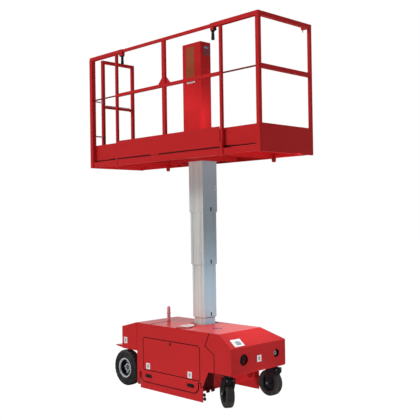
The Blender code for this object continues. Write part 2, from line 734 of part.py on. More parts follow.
def castor_wheel(side):
    half = CASTOR_W / 2
    hub_half = half + CASTOR_HUB_PAST
    barrel = CASTOR_RIM_R - SEAT
    well = barrel - CASTOR_RIM_WALL
    rim = [(CASTOR_BORE, -hub_half), (CASTOR_HUB_R, -hub_half), (CASTOR_HUB_R, -CASTOR_DISC_HALF),
           (well, -CASTOR_DISC_HALF), (well, -CASTOR_RIM_HALF), (barrel, -CASTOR_RIM_HALF)]
    rim += [(r, -y) for r, y in reversed(rim)]
    tyre = [(CASTOR_RIM_R, CASTOR_HUB_PAST - half)]
    tyre += [(CASTOR_R - down, inset - half) for down, inset in CASTOR_SHOULDER]
    tyre += [(r, -y) for r, y in reversed(tyre)]
    for name, profile, mat in (("castor_rim_", rim, BLACK_PAINT), ("castor_tyre_", tyre, RUBBER)):
        form = lathe(profile, 36)
        form.data.transform(Matrix.Translation((-CASTOR_TRAIL, 0, CASTOR_R)))
        finish(name + side, swivelled(form, side), mat, castor_axle_point(side))


# Mast

def section_z(index):
    """Lower and upper end of a section as shown; 0 is the outermost, 3 stands on the chassis."""
    lifted = MAST_STEP * (3 - index)
    top = MAST_HEAD_Z - MAST_STEP * 3 - HEAD_ROOM * index + lifted
    bottom = MAST_NEST_Z + lifted if index < 3 else TRAY_TOP_Z + SEAT + FOOT_PLATE / 2
    return bottom, top


def mast_section(name, index):
    half = MAST_SIZES[index] / 2
    bore = half - MAST_WALL
    z0, z1 = section_z(index)
    closed = index == 0

    def column(reach, low, high):
        return box((MAST_X - reach, MAST_Y - reach, low), (MAST_X + reach, MAST_Y + reach, high))

    form = column(half, z0, z1)
    if index:
        width, depth = GROOVE
        place = GROOVE_SHARE * half
        grooves = []
        for face in range(4):
            turn = Matrix.Translation((MAST_X, MAST_Y, 0)) @ Matrix.Rotation(math.pi / 2 * face, 4, "Z")
            for side in (-place, place):
                groove = box((half - depth, side - width / 2, z0 - OVER),
                             (half + depth, side + width / 2, z1 - PAD_H))
                groove.data.transform(turn)
                grooves.append(groove)
        form = cut(form, [scattered(grooves)])
        reach = MAST_SIZES[index - 1] / 2 - MAST_WALL - RUN
        form = fuse([form, column(reach, z1 - PAD_H, z1 - BITE)])
    cutters = [column(bore, z0 - OVER, z1 - MAST_WALL if closed else z1 + OVER)]
    if index < 3:
        slot_w, slot_h = HAND_SLOT
        low = z0 + HAND_SLOT_RISE
        cutters.append(box((MAST_X + bore - BITE, MAST_Y + HAND_SLOT_Y - slot_w / 2, low),
                           (MAST_X + half + BITE, MAST_Y + HAND_SLOT_Y + slot_w / 2, low + slot_h)))
    form = cut(form, cutters)
    if index == 3:
        foot = TRAY_TOP_Z + SEAT
        size = FOOT_SIZE / 2
        form = fuse([form, box((MAST_X - size, MAST_Y - size, foot),
                               (MAST_X + size, MAST_Y + size, foot + FOOT_PLATE))])
    finish(name, form, ALLOY)


# Platform

def platform_frame():
    """Side channels, open cross members, the collar round the mast and the far feet."""
    low, high = PLAT_BOTTOM_Z, PLAT_BOTTOM_Z + FRAME_H
    outer = PLAT_HALF_W - STRAP - RUN
    tip = outer - CHANNEL_W
    wall = FRAME_WALL
    section = [(-outer, low), (-tip, low), (-tip, low + wall), (-outer + wall, low + wall),
               (-outer + wall, high - wall), (-tip, high - wall), (-tip, high), (-outer, high)]
    pieces = [to_side(slab([section], "X", -MAIN_HALF_L, MAIN_HALF_L), side) for side in SIDES]
    reach = tip + BITE
    under, over = low + RUN, high - RUN
    for x in CROSS_X:
        outline = u_section(x - CROSS_W / 2, under, x + CROSS_W / 2, over, wall)
        pieces.append(slab([outline], "Y", -reach, reach))
    half = MAST_SIZES[0] / 2
    ring = half + COLLAR_REACH
    rail = COLLAR_RAIL / 2
    for y in (MAST_Y - ring + rail, MAST_Y + ring - rail):
        outline = u_section(y - rail, under + RUN, y + rail, over - RUN, wall)
        pieces.append(slab([outline], "X", CROSS_X[1], CROSS_X[2]))
    pieces.append(box((MAST_X - ring, MAST_Y - ring + RUN, under + 2 * RUN),
                      (MAST_X + ring, MAST_Y + ring - RUN, over - 2 * RUN)))
    for x in (-PAD_X, PAD_X):
        top = low + wall - RUN
        pieces.append(rod((x, (outer + tip) / 2, (PAD_BOTTOM_Z + top) / 2), (0, 0, 1), PAD_R,
                          top - PAD_BOTTOM_Z, 16))
    hole = half + SEAT
    form = cut(fuse(pieces), [box((MAST_X - hole, MAST_Y - hole, 2), (MAST_X + hole, MAST_Y + hole, 3))])
    finish("platform_frame", form, RED_PAINT)


def floor_z():
    low = PLAT_BOTTOM_Z + FRAME_H + SEAT
    return low, low + FLOOR_SHEET


def platform_floor():
    edge = PLAT_HALF_W - STRAP - RUN
    hole = MAST_SIZES[0] / 2 + RUN
    rim = rect(-MAIN_HALF_L, -edge, MAIN_HALF_L, edge)
    form = slab([rim, rect(MAST_X - hole, MAST_Y - hole, MAST_X + hole, MAST_Y + hole)], "Z", *floor_z())
    inner = rail_y() - POST_END / 2 - SEAT
    notches = [box((x - width / 2 - SEAT, -PLAT_HALF_W, 2), (x + width / 2 + SEAT, -inner, 3))
               for x, width in guard_posts()]
    finish("platform_floor", cut(form, notches), RED_PAINT)


def toe_board(side):
    """Folded sheet along the main platform, on tabs above the floor."""
    low, high = floor_z()[1] + TOE_SLOT, TOE_TOP_Z
    outer, inner = PLAT_HALF_W, PLAT_HALF_W - TOE_SHEET
    flange = PLAT_HALF_W - TOE_FLANGE
    section = [(-outer, low), (-outer, high), (-flange, high), (-flange, high - TOE_SHEET),
               (-inner, high - TOE_SHEET), (-inner, low + TOE_SHEET), (-flange, low + TOE_SHEET),
               (-flange, low)]
    half_l = POST_X - POST_END / 2 - RUN
    pieces = [slab([section], "X", -half_l, half_l)]
    for x0, x1 in TOE_TABS:
        pieces.append(box((x0, -outer + SEAT, floor_z()[1] + SEAT),
                          (x1, -flange - SEAT, low + TOE_SHEET / 2)))
    finish("toe_board_" + side, to_side(fuse(pieces), side), RED_PAINT)


def rail_y():
    """Distance of the near guardrail's middle from the platform's middle."""
    return PLAT_HALF_W - THICK_RAIL / 2


def guard_posts():
    """The main guardrail's posts as (x, width along the rail)."""
    return (-POST_X, POST_END), (POST_MIDDLE_X, POST_MIDDLE), (POST_X, POST_END)


def guardrail_near():
    """Three posts with the thin top rail, the bored intermediate tube and two gussets."""
    y = -rail_y()
    top = RAIL_TOP_Z - RAIL_WALL - RUN
    base = PLAT_BOTTOM_Z + FRAME_H + SEAT
    end = POST_X + POST_END / 2
    pieces = [box((-end, y - THIN_RAIL / 2, top - THIN_RAIL), (end, y + THIN_RAIL / 2, top)),
              box((-POST_X, y - MID_TUBE / 2, MID_RAIL_Z - MID_TUBE / 2),
                  (POST_X, y + MID_TUBE / 2, MID_RAIL_Z + MID_TUBE / 2))]
    for x, width in guard_posts():
        pieces.append(box((x - width / 2, y - POST_END / 2, base),
                          (x + width / 2, y + POST_END / 2, top - BITE)))
    strap_in = -PLAT_HALF_W + STRAP
    for x in (-POST_X, POST_X):
        x0, x1 = x - POST_END / 2 + SEAT, x + POST_END / 2 - SEAT
        pieces.append(box((x0, -PLAT_HALF_W, STRAP_BOTTOM_Z), (x1, strap_in, STRAP_TOP_Z)))
        pieces.append(box((x0 + SEAT, strap_in - BITE, floor_z()[1] + TOE_SLOT),
                          (x1 - SEAT, y - POST_END / 2 + BITE, STRAP_TOP_Z - RUN)))
    reach, height, sheet = GUSSET
    foot = MID_RAIL_Z + MID_TUBE / 2 - BITE
    for sign in (-1, 1):
        near_post = POST_MIDDLE_X + sign * (POST_MIDDLE / 2 - BITE)
        outline = [(near_post, foot), (near_post + sign * reach, foot), (near_post, foot + height)]
        pieces.append(slab([outline], "Y", y - sheet / 2, y + sheet / 2))
    form = fuse(pieces)
    depth = POST_X + POST_END - (SLEEVE_END_X - DECK_TRAVEL - 2 * CLEAR)
    bores = [rod((sign * (POST_X + POST_END - depth / 2), y, MID_RAIL_Z), (1, 0, 0), MID_BORE_R, depth, 16)
             for sign in (-1, 1)]
    finish("guardrail_near", cut(form, bores), RED_PAINT)


def control_column():
    base = floor_z()[1] + SEAT
    wall = COVER_SHEET
    form = box((*COLUMN_LO, base), (*COLUMN_HI, COLUMN_TOP_Z))
    inside = box((COLUMN_LO[0] + wall, COLUMN_LO[1] + wall, base - wall),
                 (COLUMN_HI[0] - wall, COLUMN_HI[1] - wall, COLUMN_TOP_Z - wall))
    half = MAST_SIZES[0] / 2
    head = box((MAST_X - half - CLEAR, MAST_Y, base - wall),
               (COLUMN_HI[0] - wall - RUN, COLUMN_HI[1] + wall, MAST_HEAD_Z + 2 * RUN + wall))
    finish("control_column", cut(form, [inside, head]), RED_PAINT)


def mast_head_cover():
    base = floor_z()[1] + SEAT
    front = COLUMN_HI[1] + SEAT
    wall = COVER_SHEET
    form = box((COVER_X[0], front, base), (COVER_X[1], COVER_REAR_Y, COVER_TOP_Z))
    inside = box((COVER_X[0] + wall, front - wall, base - wall),
                 (COVER_X[1] - wall, COVER_REAR_Y - wall, COVER_TOP_Z - wall))
    finish("mast_head_cover", cut(form, [inside]), RED_PAINT)


# Slide-out decks. Each is built for the right end and mirrored for the left.

def to_end(obj, end):
    return obj if end == "right" else mirrored(obj, (1, 0, 0))


def deck_floor(end):
    """Tray of a deck: sheet, toe boards, end board, end member and the two sliding beams."""
    near_post, far_post = CORNER_POSTS[end]
    low, high = DECK_SHEET_Z
    board_in = PLAT_HALF_L - FLOOR_SHEET
    toe_in = DECK_TOE_Y - FLOOR_SHEET
    strip_z = floor_z()[1] + RUN
    pieces = [box((DECK_INNER_X, -DECK_TOE_Y, low), (board_in + RUN, DECK_TOE_Y, high)),
              box((board_in, -PLAT_HALF_W, PLAT_BOTTOM_Z), (PLAT_HALF_L, PLAT_HALF_W, DECK_TOE_TOP_Z))]
    beam_out = PLAT_HALF_W - STRAP - RUN - 2 * FRAME_WALL
    frame_in = PLAT_BOTTOM_Z + FRAME_WALL + RUN, PLAT_BOTTOM_Z + FRAME_H - FRAME_WALL - RUN
    corners = []
    for side, post in (("near", near_post), ("far", far_post)):
        sign = SIDES[side]
        pieces.append(box((DECK_INNER_X, sign * DECK_TOE_Y, low + RUN / 2),
                          (board_in + RUN, sign * toe_in, DECK_TOE_TOP_Z - RUN)))
        pieces.append(box((DECK_INNER_X, sign * beam_out, frame_in[0]),
                          (board_in + RUN, sign * (beam_out - BEAM_W), frame_in[1])))
        pieces.append(box((DECK_INNER_X + RUN, sign * (STRIP_Y - STRIP_W / 2), strip_z),
                          (MAIN_HALF_L - CLEAR, sign * (STRIP_Y + STRIP_W / 2), low + RUN)))
        if post:
            room = post + SEAT
            corners.append(box((PLAT_HALF_L - room, sign * (PLAT_HALF_W - room), 2),
                               (PLAT_HALF_L + room, sign * (PLAT_HALF_W + room), 3)))
    member_out = PLAT_HALF_L - near_post - 2 * SEAT
    pieces.append(box((PLAT_HALF_L - END_MEMBER, -beam_out + RUN, frame_in[0] + RUN),
                      (member_out, beam_out - RUN, low + RUN)))
    form = cut(fuse(pieces), corners)
    finish("deck_floor_" + end, to_end(form, end), RED_PAINT)


def sleeve_rail():
    """Top rail open below, which slides over the main guardrail's thin rail."""
    y = -rail_y()
    half = THICK_RAIL / 2
    low = RAIL_TOP_Z - THICK_RAIL
    rail = box((SLEEVE_END_X, y - half, low), (PLAT_HALF_L - SLEEVE_CAP, y + half, RAIL_TOP_Z))
    room = box((SLEEVE_END_X - OVER, y - half + RAIL_WALL, low - OVER),
               (PLAT_HALF_L - THICK_RAIL - RUN, y + half - RAIL_WALL, RAIL_TOP_Z - RAIL_WALL))
    block = box((SLEEVE_END_X + RUN, y - half + RUN, LOCK_BOTTOM_Z),
                (SLEEVE_END_X + LOCK_LENGTH, y + half - RUN, low + BITE))
    return fuse([cut(rail, [room]), block])


def corner_post(width, side, inset):
    sign = SIDES[side]
    return box((PLAT_HALF_L - width, sign * (PLAT_HALF_W - inset), PLAT_BOTTOM_Z),
               (PLAT_HALF_L - inset, sign * (PLAT_HALF_W - width), RAIL_TOP_Z - THICK_RAIL / 2))


def deck_rails(end):
    """A deck's corner posts, top rail, intermediate rod and end rails."""
    near_post, far_post = CORNER_POSTS[end]
    y = -rail_y()
    pieces = [corner_post(near_post, "near", RUN), sleeve_rail()]
    rod_end = PLAT_HALF_L - near_post / 2
    pieces.append(rod(((SLEEVE_END_X + rod_end) / 2, y, MID_RAIL_Z), (1, 0, 0), MID_ROD_R,
                      rod_end - SLEEVE_END_X, 12))
    if end == "right":
        half = THICK_RAIL / 2
        pieces.append(corner_post(far_post, "far", RUN))
        pieces.append(box((PLAT_HALF_L - THICK_RAIL, -PLAT_HALF_W, RAIL_TOP_Z - THICK_RAIL),
                          (PLAT_HALF_L, PLAT_HALF_W, RAIL_TOP_Z)))
        pieces.append(box((PLAT_HALF_L - near_post + 2 * BITE, -PLAT_HALF_W + OVER, MID_RAIL_Z - half),
                          (PLAT_HALF_L - 2 * RUN, PLAT_HALF_W - OVER, MID_RAIL_Z + half)))
        top = RAIL_TOP_Z - half + SOCKET / 2
        pieces.append(box((SOCKET_X, PLAT_HALF_W - SOCKET - RUN, top - SOCKET),
                          (PLAT_HALF_L - THICK_RAIL / 2, PLAT_HALF_W - RUN, top)))
        pin_r, pin_l = SOCKET_PIN
        pieces.append(rod((SOCKET_X + 3 * pin_r, PLAT_HALF_W - SOCKET / 2, top - SOCKET - pin_l / 4),
                          (0, 0, 1), pin_r, pin_l, 12))
    else:
        reach = PORTAL_HALF_W + PORTAL_TUBE / 2 + SEAT
        x = -PORTAL_OUTER_X - PORTAL_TUBE / 2
        start = PLAT_HALF_W - near_post + OVER
        for z in END_RAILS_Z:
            pieces.append(rod((x, -(start + reach) / 2, z), (0, 1, 0), END_RAIL_R, start - reach, 12))
    finish("deck_rails_" + end, to_end(fuse(pieces), end), RED_PAINT)


def lock_grip(end):
    """Black grip that hangs below the lock at a sleeve rail's inner end."""
    top = LOCK_BOTTOM_Z - SEAT
    x = SLEEVE_END_X + LOCK_LENGTH / 2
    y = -rail_y()
    waist, head = GRIP_R
    foot_h, foot_r, foot_top_r = GRIP_FOOT
    pieces = [rod((x, y, top - GRIP_LENGTH / 2), (0, 0, 1), head, GRIP_LENGTH, 20, radius_end=waist),
              rod((x, y, top - GRIP_LENGTH - foot_h / 2 + RUN), (0, 0, 1), foot_r, foot_h + RUN, 20,
                  radius_end=foot_top_r)]
    finish("lock_grip_" + end, to_end(fuse(pieces), end), BLACK_PAINT)


def entry_portal():
    """Fixed arch of square tube at the left end."""
    out, inn = PORTAL_HALF_W + PORTAL_TUBE / 2, PORTAL_HALF_W - PORTAL_TUBE / 2
    foot, top = DECK_SHEET_Z[1] + SEAT, PORTAL_TOP_Z
    outline = [(-out, foot), (-out, top), (out, top), (out, foot),
               (inn, foot), (inn, top - PORTAL_TUBE), (-inn, top - PORTAL_TUBE), (-inn, foot)]
    form = slab([outline], "X", PORTAL_OUTER_X, PORTAL_OUTER_X + PORTAL_TUBE)
    finish("entry_portal", form, RED_PAINT)


def entry_bar():
    """Bar between the portal's uprights, with cheeks that run along them."""
    inner = PORTAL_HALF_W - PORTAL_TUBE / 2 - 4 * RUN
    reach = PORTAL_HALF_W + PORTAL_TUBE / 4
    x0 = PORTAL_OUTER_X - RUN - ENTRY_CHEEK
    x1 = PORTAL_OUTER_X + PORTAL_TUBE + RUN + ENTRY_CHEEK
    low, high = ENTRY_BAR_Z - ENTRY_BAR / 2, ENTRY_BAR_Z + ENTRY_BAR / 2
    middle = (x0 + x1) / 2
    pieces = [box((middle - ENTRY_BAR_HALF_T, -inner + ENTRY_CHEEK, low + 2 * BITE),
                  (middle + ENTRY_BAR_HALF_T, inner - ENTRY_CHEEK, high - 2 * BITE))]
    lap = inner - CHEEK_LAP
    for sign in SIDES.values():
        pieces.append(box((x0 + RUN, sign * (lap - ENTRY_CHEEK), low + RUN),
                          (x1 - RUN, sign * inner, high - RUN)))
        for x in (x0, x1 - ENTRY_CHEEK):
            pieces.append(box((x, sign * lap, low), (x + ENTRY_CHEEK, sign * reach, high)))
    finish("entry_bar", fuse(pieces), RED_PAINT)


def build_chassis():
    chassis_frame()
    heavy_blocks()
    front_hood()
    rear_cover()
    rear_step()
    rear_knob()
    drive_axle()
    for side in SIDES:
        side_panel(side)
        side_door(side)
        ground_guard(side)
        drive_rim(side)
        drive_tyre(side)
        castor_fork(side)
        castor_wheel(side)


def build_platform():
    platform_frame()
    platform_floor()
    guardrail_near()
    control_column()
    mast_head_cover()
    for side in SIDES:
        toe_board(side)
    for end in ENDS:
        deck_floor(end)
        deck_rails(end)
        lock_grip(end)
    entry_portal()
    entry_bar()


build_chassis()
for index, name in enumerate(("mast_outer", "mast_upper", "mast_lower", "mast_base")):
    mast_section(name, index)
build_platform()
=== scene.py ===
"""Looks of the vertical mast lift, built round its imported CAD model.

Metres, in the CAD's frame: the origin is on the floor below the platform's middle,
+X points to the castor end, -Y to the long side with the guardrail, and +Z up.
"""

import math

import bmesh
import bpy
from mathutils import Matrix, Vector


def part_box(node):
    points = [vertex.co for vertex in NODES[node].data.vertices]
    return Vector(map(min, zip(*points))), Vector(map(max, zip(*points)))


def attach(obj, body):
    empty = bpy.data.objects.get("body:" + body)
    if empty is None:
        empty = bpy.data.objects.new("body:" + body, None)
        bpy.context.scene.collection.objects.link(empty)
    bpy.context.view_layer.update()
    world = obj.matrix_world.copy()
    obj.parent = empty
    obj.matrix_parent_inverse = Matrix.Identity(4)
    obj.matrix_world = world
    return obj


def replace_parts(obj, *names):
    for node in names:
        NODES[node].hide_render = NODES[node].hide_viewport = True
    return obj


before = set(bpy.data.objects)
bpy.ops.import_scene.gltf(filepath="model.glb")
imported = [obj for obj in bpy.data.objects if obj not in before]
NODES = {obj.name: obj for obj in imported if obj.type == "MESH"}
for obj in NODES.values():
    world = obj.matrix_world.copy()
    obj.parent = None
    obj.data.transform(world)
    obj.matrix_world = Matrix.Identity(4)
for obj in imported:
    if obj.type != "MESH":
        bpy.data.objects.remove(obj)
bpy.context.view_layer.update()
SIDES = {"near": -1, "far": 1}                   # the long sides' signs in Y
ENDS = {"right": 1, "left": -1}                  # the ends' signs in X
UP, DOWN, FORWARD, NEAR = (0, 0, 1), (0, 0, -1), (1, 0, 0), (0, -1, 0)

# Camera, from the photograph's perspective
CAMERA_AT = (5.245, -4.925, 1.704)
CAMERA_FORWARD = (-0.7127, 0.7014, 0.0119)
CAMERA_RIGHT = (0.7012, 0.7127, -0.0151)
SENSOR_MM = 36.0
LENS_MM = 61.45

# Light
SKY = 0.12                                       # strength on the object; the camera sees 1
SKY_GLOSS = (0.10, 0.80)                         # strength in reflections, before and behind the machine
BACKDROP_WAY = (-0.71, 0.70, 0.0)
BACKDROP_SHARE = (0.20, 0.70)                    # where the backdrop sets in and is full
SUN_FROM = (-0.42, -0.62, 0.72)
SUN_STRENGTH = 2.0
SUN_COLOUR = (1.0, 0.985, 0.955)
SUN_SOFTNESS = math.radians(25)
FLOOR_HALF, FLOOR_Z = 40.0, -0.0005
FLOOR_GREY = 0.80                                # the floor's own colour under light
FLOOR_WHITE = 1.02                               # what the camera sees of it
FLOOR_GLOW = 0.42                                # what it sends up beside what it reflects
FLOOR_GLOSS = 0.08                               # its strength in reflections
AREA_COLOUR = (0.90, 0.96, 1.0)
AREA_LIGHTS = {                                  # place, aim, width, watts, spread in degrees
    "fill": ((1.45, 0.12, 2.15), (0.55, 0.00, 0.60), 0.50, 5.00, 64.0),
    "lift_left": ((-0.75, 0.00, 0.80), (-0.75, 0.00, 1.80), 0.30, 2.40, 56.0),
    "lift_right": ((0.95, 0.00, 0.80), (0.95, 0.00, 1.80), 0.30, 2.40, 56.0),
    "bay": ((1.90, -0.60, 0.10), (0.45, 0.30, 0.00), 0.20, 0.60, 32.0),
    "column": ((0.62, -0.28, 2.45), (0.14, -0.02, 2.80), 0.16, 0.58, 75.0),
}

# Colours, linear
RED = (0.560, 0.0165, 0.0190, 1.0)
DARK_RED = (0.330, 0.0090, 0.0110, 1.0)
ROD_RED = (0.200, 0.0070, 0.0090, 1.0)
KNOB_PINK = (0.920, 0.380, 0.400, 1.0)
# pale grey of the thin rails, and a painted highlight on the entry bar's top
BAR_GREY_AND_HIGHLIGHT = (0.900, 0.740, 0.860, 1.0)
# dark joints, and painted shadow in gaps below the toe boards and the side panels
SEAM_AND_GAP_SHADE_BLACK = (0.0300, 0.0050, 0.0060, 1.0)
ALLOY = (0.690, 0.730, 0.712, 1.0)
ALLOY_DULL = (0.580, 0.580, 0.570, 1.0)
# painted shade in blue for the mast's faces looking along X
ALLOY_BLUE_PAINTED_SHADE = (0.390, 0.540, 0.620, 1.0)
RUBBER = (0.0130, 0.0135, 0.0145, 1.0)
RUBBER_DUSTY = (0.0330, 0.0330, 0.0330, 1.0)
RUBBER_BROWN = (0.0430, 0.0390, 0.0370, 1.0)
BLACK = (0.0075, 0.0085, 0.0110, 1.0)
ZINC = (0.620, 0.640, 0.660, 1.0)
ZINC_DULL = (0.420, 0.440, 0.460, 1.0)
RIM_SILVER = (0.700, 0.750, 0.800, 1.0)
HUB_GREY = (0.120, 0.145, 0.170, 1.0)
LABEL_WHITE = (0.800, 0.800, 0.790, 1.0)
LABEL_GREY = (0.300, 0.320, 0.350, 1.0)
LABEL_OLIVE = (0.560, 0.020, 0.014, 1.0)
LABEL_OLIVE_DARK = (0.130, 0.120, 0.020, 1.0)
LABEL_PLUM = (0.210, 0.045, 0.060, 1.0)

# Finish: the bump's height, and the gloss's mottling against the colour's
BUMP_HEIGHT = 0.0006
GLOSS_MOTTLING = 3.1

# Rounding of the CAD's edges
EDGE = {"mast_base": 0.004, "mast_lower": 0.004, "mast_upper": 0.005, "mast_outer": 0.005,
        "front_hood": 0.002, "rear_cover": 0.002, "control_column": 0.003}
EDGE_PLAIN = 0.0012
SMOOTH_ANGLE = math.radians(35)

# Bolts: a hexagon head and its washer in shares of the head's radius, and a dome's angles
WASHER_PROFILE = [(1.4065, 0.0), (1.4500, 0.08), (1.4065, 0.22)]
HEAD_SEAT, HEAD_TOP = 0.20, 0.88
HEAD_BEVEL_FROM = 0.85                           # share of the head's height
DOME_ANGLES = (0.0, 0.35, 0.7, 1.05, 1.4)

# Labels
LABEL_T, LABEL_CORNER, PATCH_CORNER = 0.0005, 0.003, 0.002
LABEL_SMALL, LABEL_MARK = (0.058, 0.060), (0.022, 0.034)

# Chassis, as in the CAD
PANEL_Y = 0.3725                                 # outer faces of the side panels and doors
FRONT_X = 0.855
ROOF_Z = 0.665
SLOPE_TOP, SLOPE_FOOT = (0.705, 0.665), (0.855, 0.547)
DOOR_X, DOOR_FOOT_Z, DOOR_CORNER = (-0.361, 0.452), 0.213, 0.028
GUARD_OUT_Y, GUARD_IN_Y, GUARD_FRONT_X = 0.368, 0.363, 0.486
WALL_X = 0.4762                                  # front face of the wall behind the castors
LAMP_Z = 0.431
LAMPS = {"near": (-0.206, 0.052), "far": (0.243, 0.039)}     # the front's round openings: y, radius
HOOD_EDGE = {                                    # front edge of each side panel, (x, z)
    "near": [(0.587, 0.665), (0.547, 0.590), (0.525, 0.543), (0.642, 0.474), (0.642, 0.309)],
    "far": [(0.525, 0.523), (0.642, 0.474), (0.642, 0.309)],
}
PANEL_FOOT = [                                   # the side panels' lower edge with its hooks, to the rear
    (0.565, 0.307), (0.492, 0.165), (0.470, 0.165), (0.470, 0.195), (0.425, 0.195), (0.425, 0.130),
    (0.385, 0.092), (-0.360, 0.092), (-0.395, 0.130), (-0.395, 0.180), (-0.425, 0.180), (-0.425, 0.058),
    (-0.461, 0.058),
]

# Joints and beads
SEAM_W, SEAM_T = 0.0075, 0.0006
DOOR_SEAM_RISE, DOOR_SEAM_SHIFT, HINGE_SEAM_DROP = 0.002, 0.00225, 0.004
# the joint below the side panels is also painted shadow under their lower edge
FOOT_SEAM_W, FOOT_SEAM_T, FOOT_SEAM_GAP = 0.0080, 0.0036, 0.0008
ROOF_BEADS = (                                   # path, width, height
    ([(0.129, -0.369), (0.232, -0.283), (0.160, -0.144), (0.055, -0.048)], 0.0060, 0.0055),
    ([(-0.280, -0.103), (-0.255, -0.364)], 0.0040, 0.0015),
)

# Slots in the roof and in the side panels
# black sheets in the roof's slots are painted shade
ROOF_SLOTS = ((0.419, -0.148), (0.444, -0.126), (0.469, -0.104))
ROOF_SLOT_SIZE, ROOF_SLOT_TURN, ROOF_SLOT_SUNK = (0.075, 0.022, 0.0109), math.radians(-47), 0.0004
# black backs in the side panels' slots are painted shade
SLOT_X, SLOT_Z = (-0.285, 0.325), 0.150
POCKET_SIZE, POCKET_SUNK = (0.103, 0.035, 0.0174), 0.0035    # width, height and corner radius
SLOT_BACK_T = 0.0008

# Fittings of the guards, and of the bay with the castors
ROLLERS = ((0.014, 0.052), (0.010, 0.088))       # reach past the guard's front end, z
ROLLER_PROFILE = [(0.0150, 0), (0.0165, 0.001), (0.0165, 0.008), (0.0150, 0.009)]
GUIDE_PLATE = [(0.4785, 0.020), (0.528, 0.020), (0.528, 0.190), (0.505, 0.218), (0.4785, 0.218)]
GUIDE_T = 0.003
GUIDE_BOLTS, GUIDE_BOLT = ((0.512, 0.149), (0.508, 0.079)), (0.0085, 0.0030)     # (x, z), (radius, height)
# painted shade: a dark patch on the near part of the wall behind the castors
SHADE_PATCH = [(-0.352, 0.128), (-0.222, 0.128), (-0.206, 0.298), (-0.352, 0.298)]    # (y, z)
SHADE_PATCH_T = 0.0008
DISC_AT = (0.290, 0.182)
DISC_PROFILE = [(0.047, 0), (0.044, 0.0016), (0.036, 0.0016), (0.033, 0.0006), (0.001, 0.0006)]
CLIPS_Y, CLIP_T = (-0.300, -0.236), 0.014
CLIP = [(-0.016, 0.098), (0.016, 0.098), (0.022, 0.122), (0.010, 0.136), (-0.022, 0.136)]

# Door locks
DOOR_LOCK_X, DOOR_LOCK_DROP = 0.043, 0.026
ESCUTCHEON, ESCUTCHEON_T = (0.020, 0.030, 0.0098), 0.0025
BARREL_UP = 0.003
BARREL_PROFILE = [(0.0068, 0), (0.0068, 0.0020), (0.0058, 0.0030), (0.0015, 0.0030)]

# Insides of the front's round openings, each set back from the front
CUP_SET, CUP_WALL, CUP_GAP, CUP_DEPTH, CUP_FLOOR, CUP_HOLE_R = 0.004, 0.004, 0.001, 0.050, 0.048, 0.002
SOCKET_SET = 0.052
SOCKET_PROFILE = [(0.021, 0), (0.021, 0.020), (0.019, 0.024), (0.012, 0.025), (0.012, 0.014), (0.001, 0.012)]
LAMP_PLATE_SET, LAMP_PLATE_T = 0.026, 0.003
BUTTONS = ((0.004, 0.020, 0.024), (-0.008, -0.022, 0.019), (-0.030, 0.002, 0.012))   # across, up, radius
BUTTON_PROFILE = [(1.0, 0), (1.0, 0.012), (0.8, 0.016)]      # share of the radius, height
BUTTON_TOP = (0.001, 0.017)
RING_SET = 0.022
RING_PROFILE = [(0.0130, 0), (0.0190, 0), (0.0190, 0.006), (0.0130, 0.006)]

# Bolts on the front and on the mast's foot, as (radius, height)
FRONT_BOLT, FRONT_BOLTS_Y, FRONT_BOLTS_Z = (0.0050, 0.0024), (-0.179, 0.198), 0.3605
FOOT_BOLT, FOOT_BOLT_INSET = (0.008, 0.007), 0.018

# Drive wheels
WHEEL_AT = (-0.660, 0.330, 0.182)
WHEEL_R, TYRE_HALF_W, RIM_R = 0.182, 0.050, 0.098
TYRE_BEAD = ((0.00, 0.80), (0.03, 0.93))         # shares of the tyre's depth and half width
TYRE_SHOULDER = ((0.64, 0.985), (0.76, 0.94), (0.87, 0.85), (0.95, 0.72), (0.988, 0.58), (1.0, 0.40),
                 (1.0, 0.14))
TYRE_GROOVE, TYRE_GROOVE_SHARES = 0.0025, (0.12, 0.02)
RIBS, RIB_FROM, RIB_BAND, RIB_STEP = 9, 0.08, 0.50, 0.0012   # ribs on the sidewall
RIB_SHARES = (0.012, 0.038)                      # where a rib is full, as shares of the depth
WALL_FLAT, WALL_SWELL = 0.955, 0.045             # shares of the half width
LUGS, LUG_DEPTH = 26, 0.0045
LUG_FROM, LUG_INNER = 0.84, 0.3                  # cross grooves' inner ends, shares of depth and half width
LUG_STOPS = (                                    # share of a lug's pitch, whether it is in a groove
    (0.00, True), (0.24, True), (0.28, False), (0.52, False), (0.76, False), (0.96, False),
)
RIM_LIP = 0.0465
RIM_PROFILE = [(0.0840, -0.012), (0.0870, -0.003), (0.0890, 0), (0.0940, 0.0012), (0.0985, 0),
               (0.0990, -0.004), (0.0960, -0.006), (0.0880, -0.012)]
HUB_FACE = 0.006                                 # the CAD hub's outer face, outboard of the tyre's middle
HUB_PROFILE = [(0.0360, -0.006), (0.0380, 0.004), (0.0365, 0.009), (0.0320, 0.010), (0.0300, 0.0065),
               (0.0280, 0.0060)]
HUB_CAP_PROFILE = [(0.0280, 0.0060), (0.0170, 0.0065), (0.0150, 0.0095), (0.0020, 0.0100)]
WHEEL_NUTS, WHEEL_NUT, WHEEL_NUT_CIRCLE, WHEEL_NUT_Z = 5, (0.0075, 0.011), 0.058, -0.004

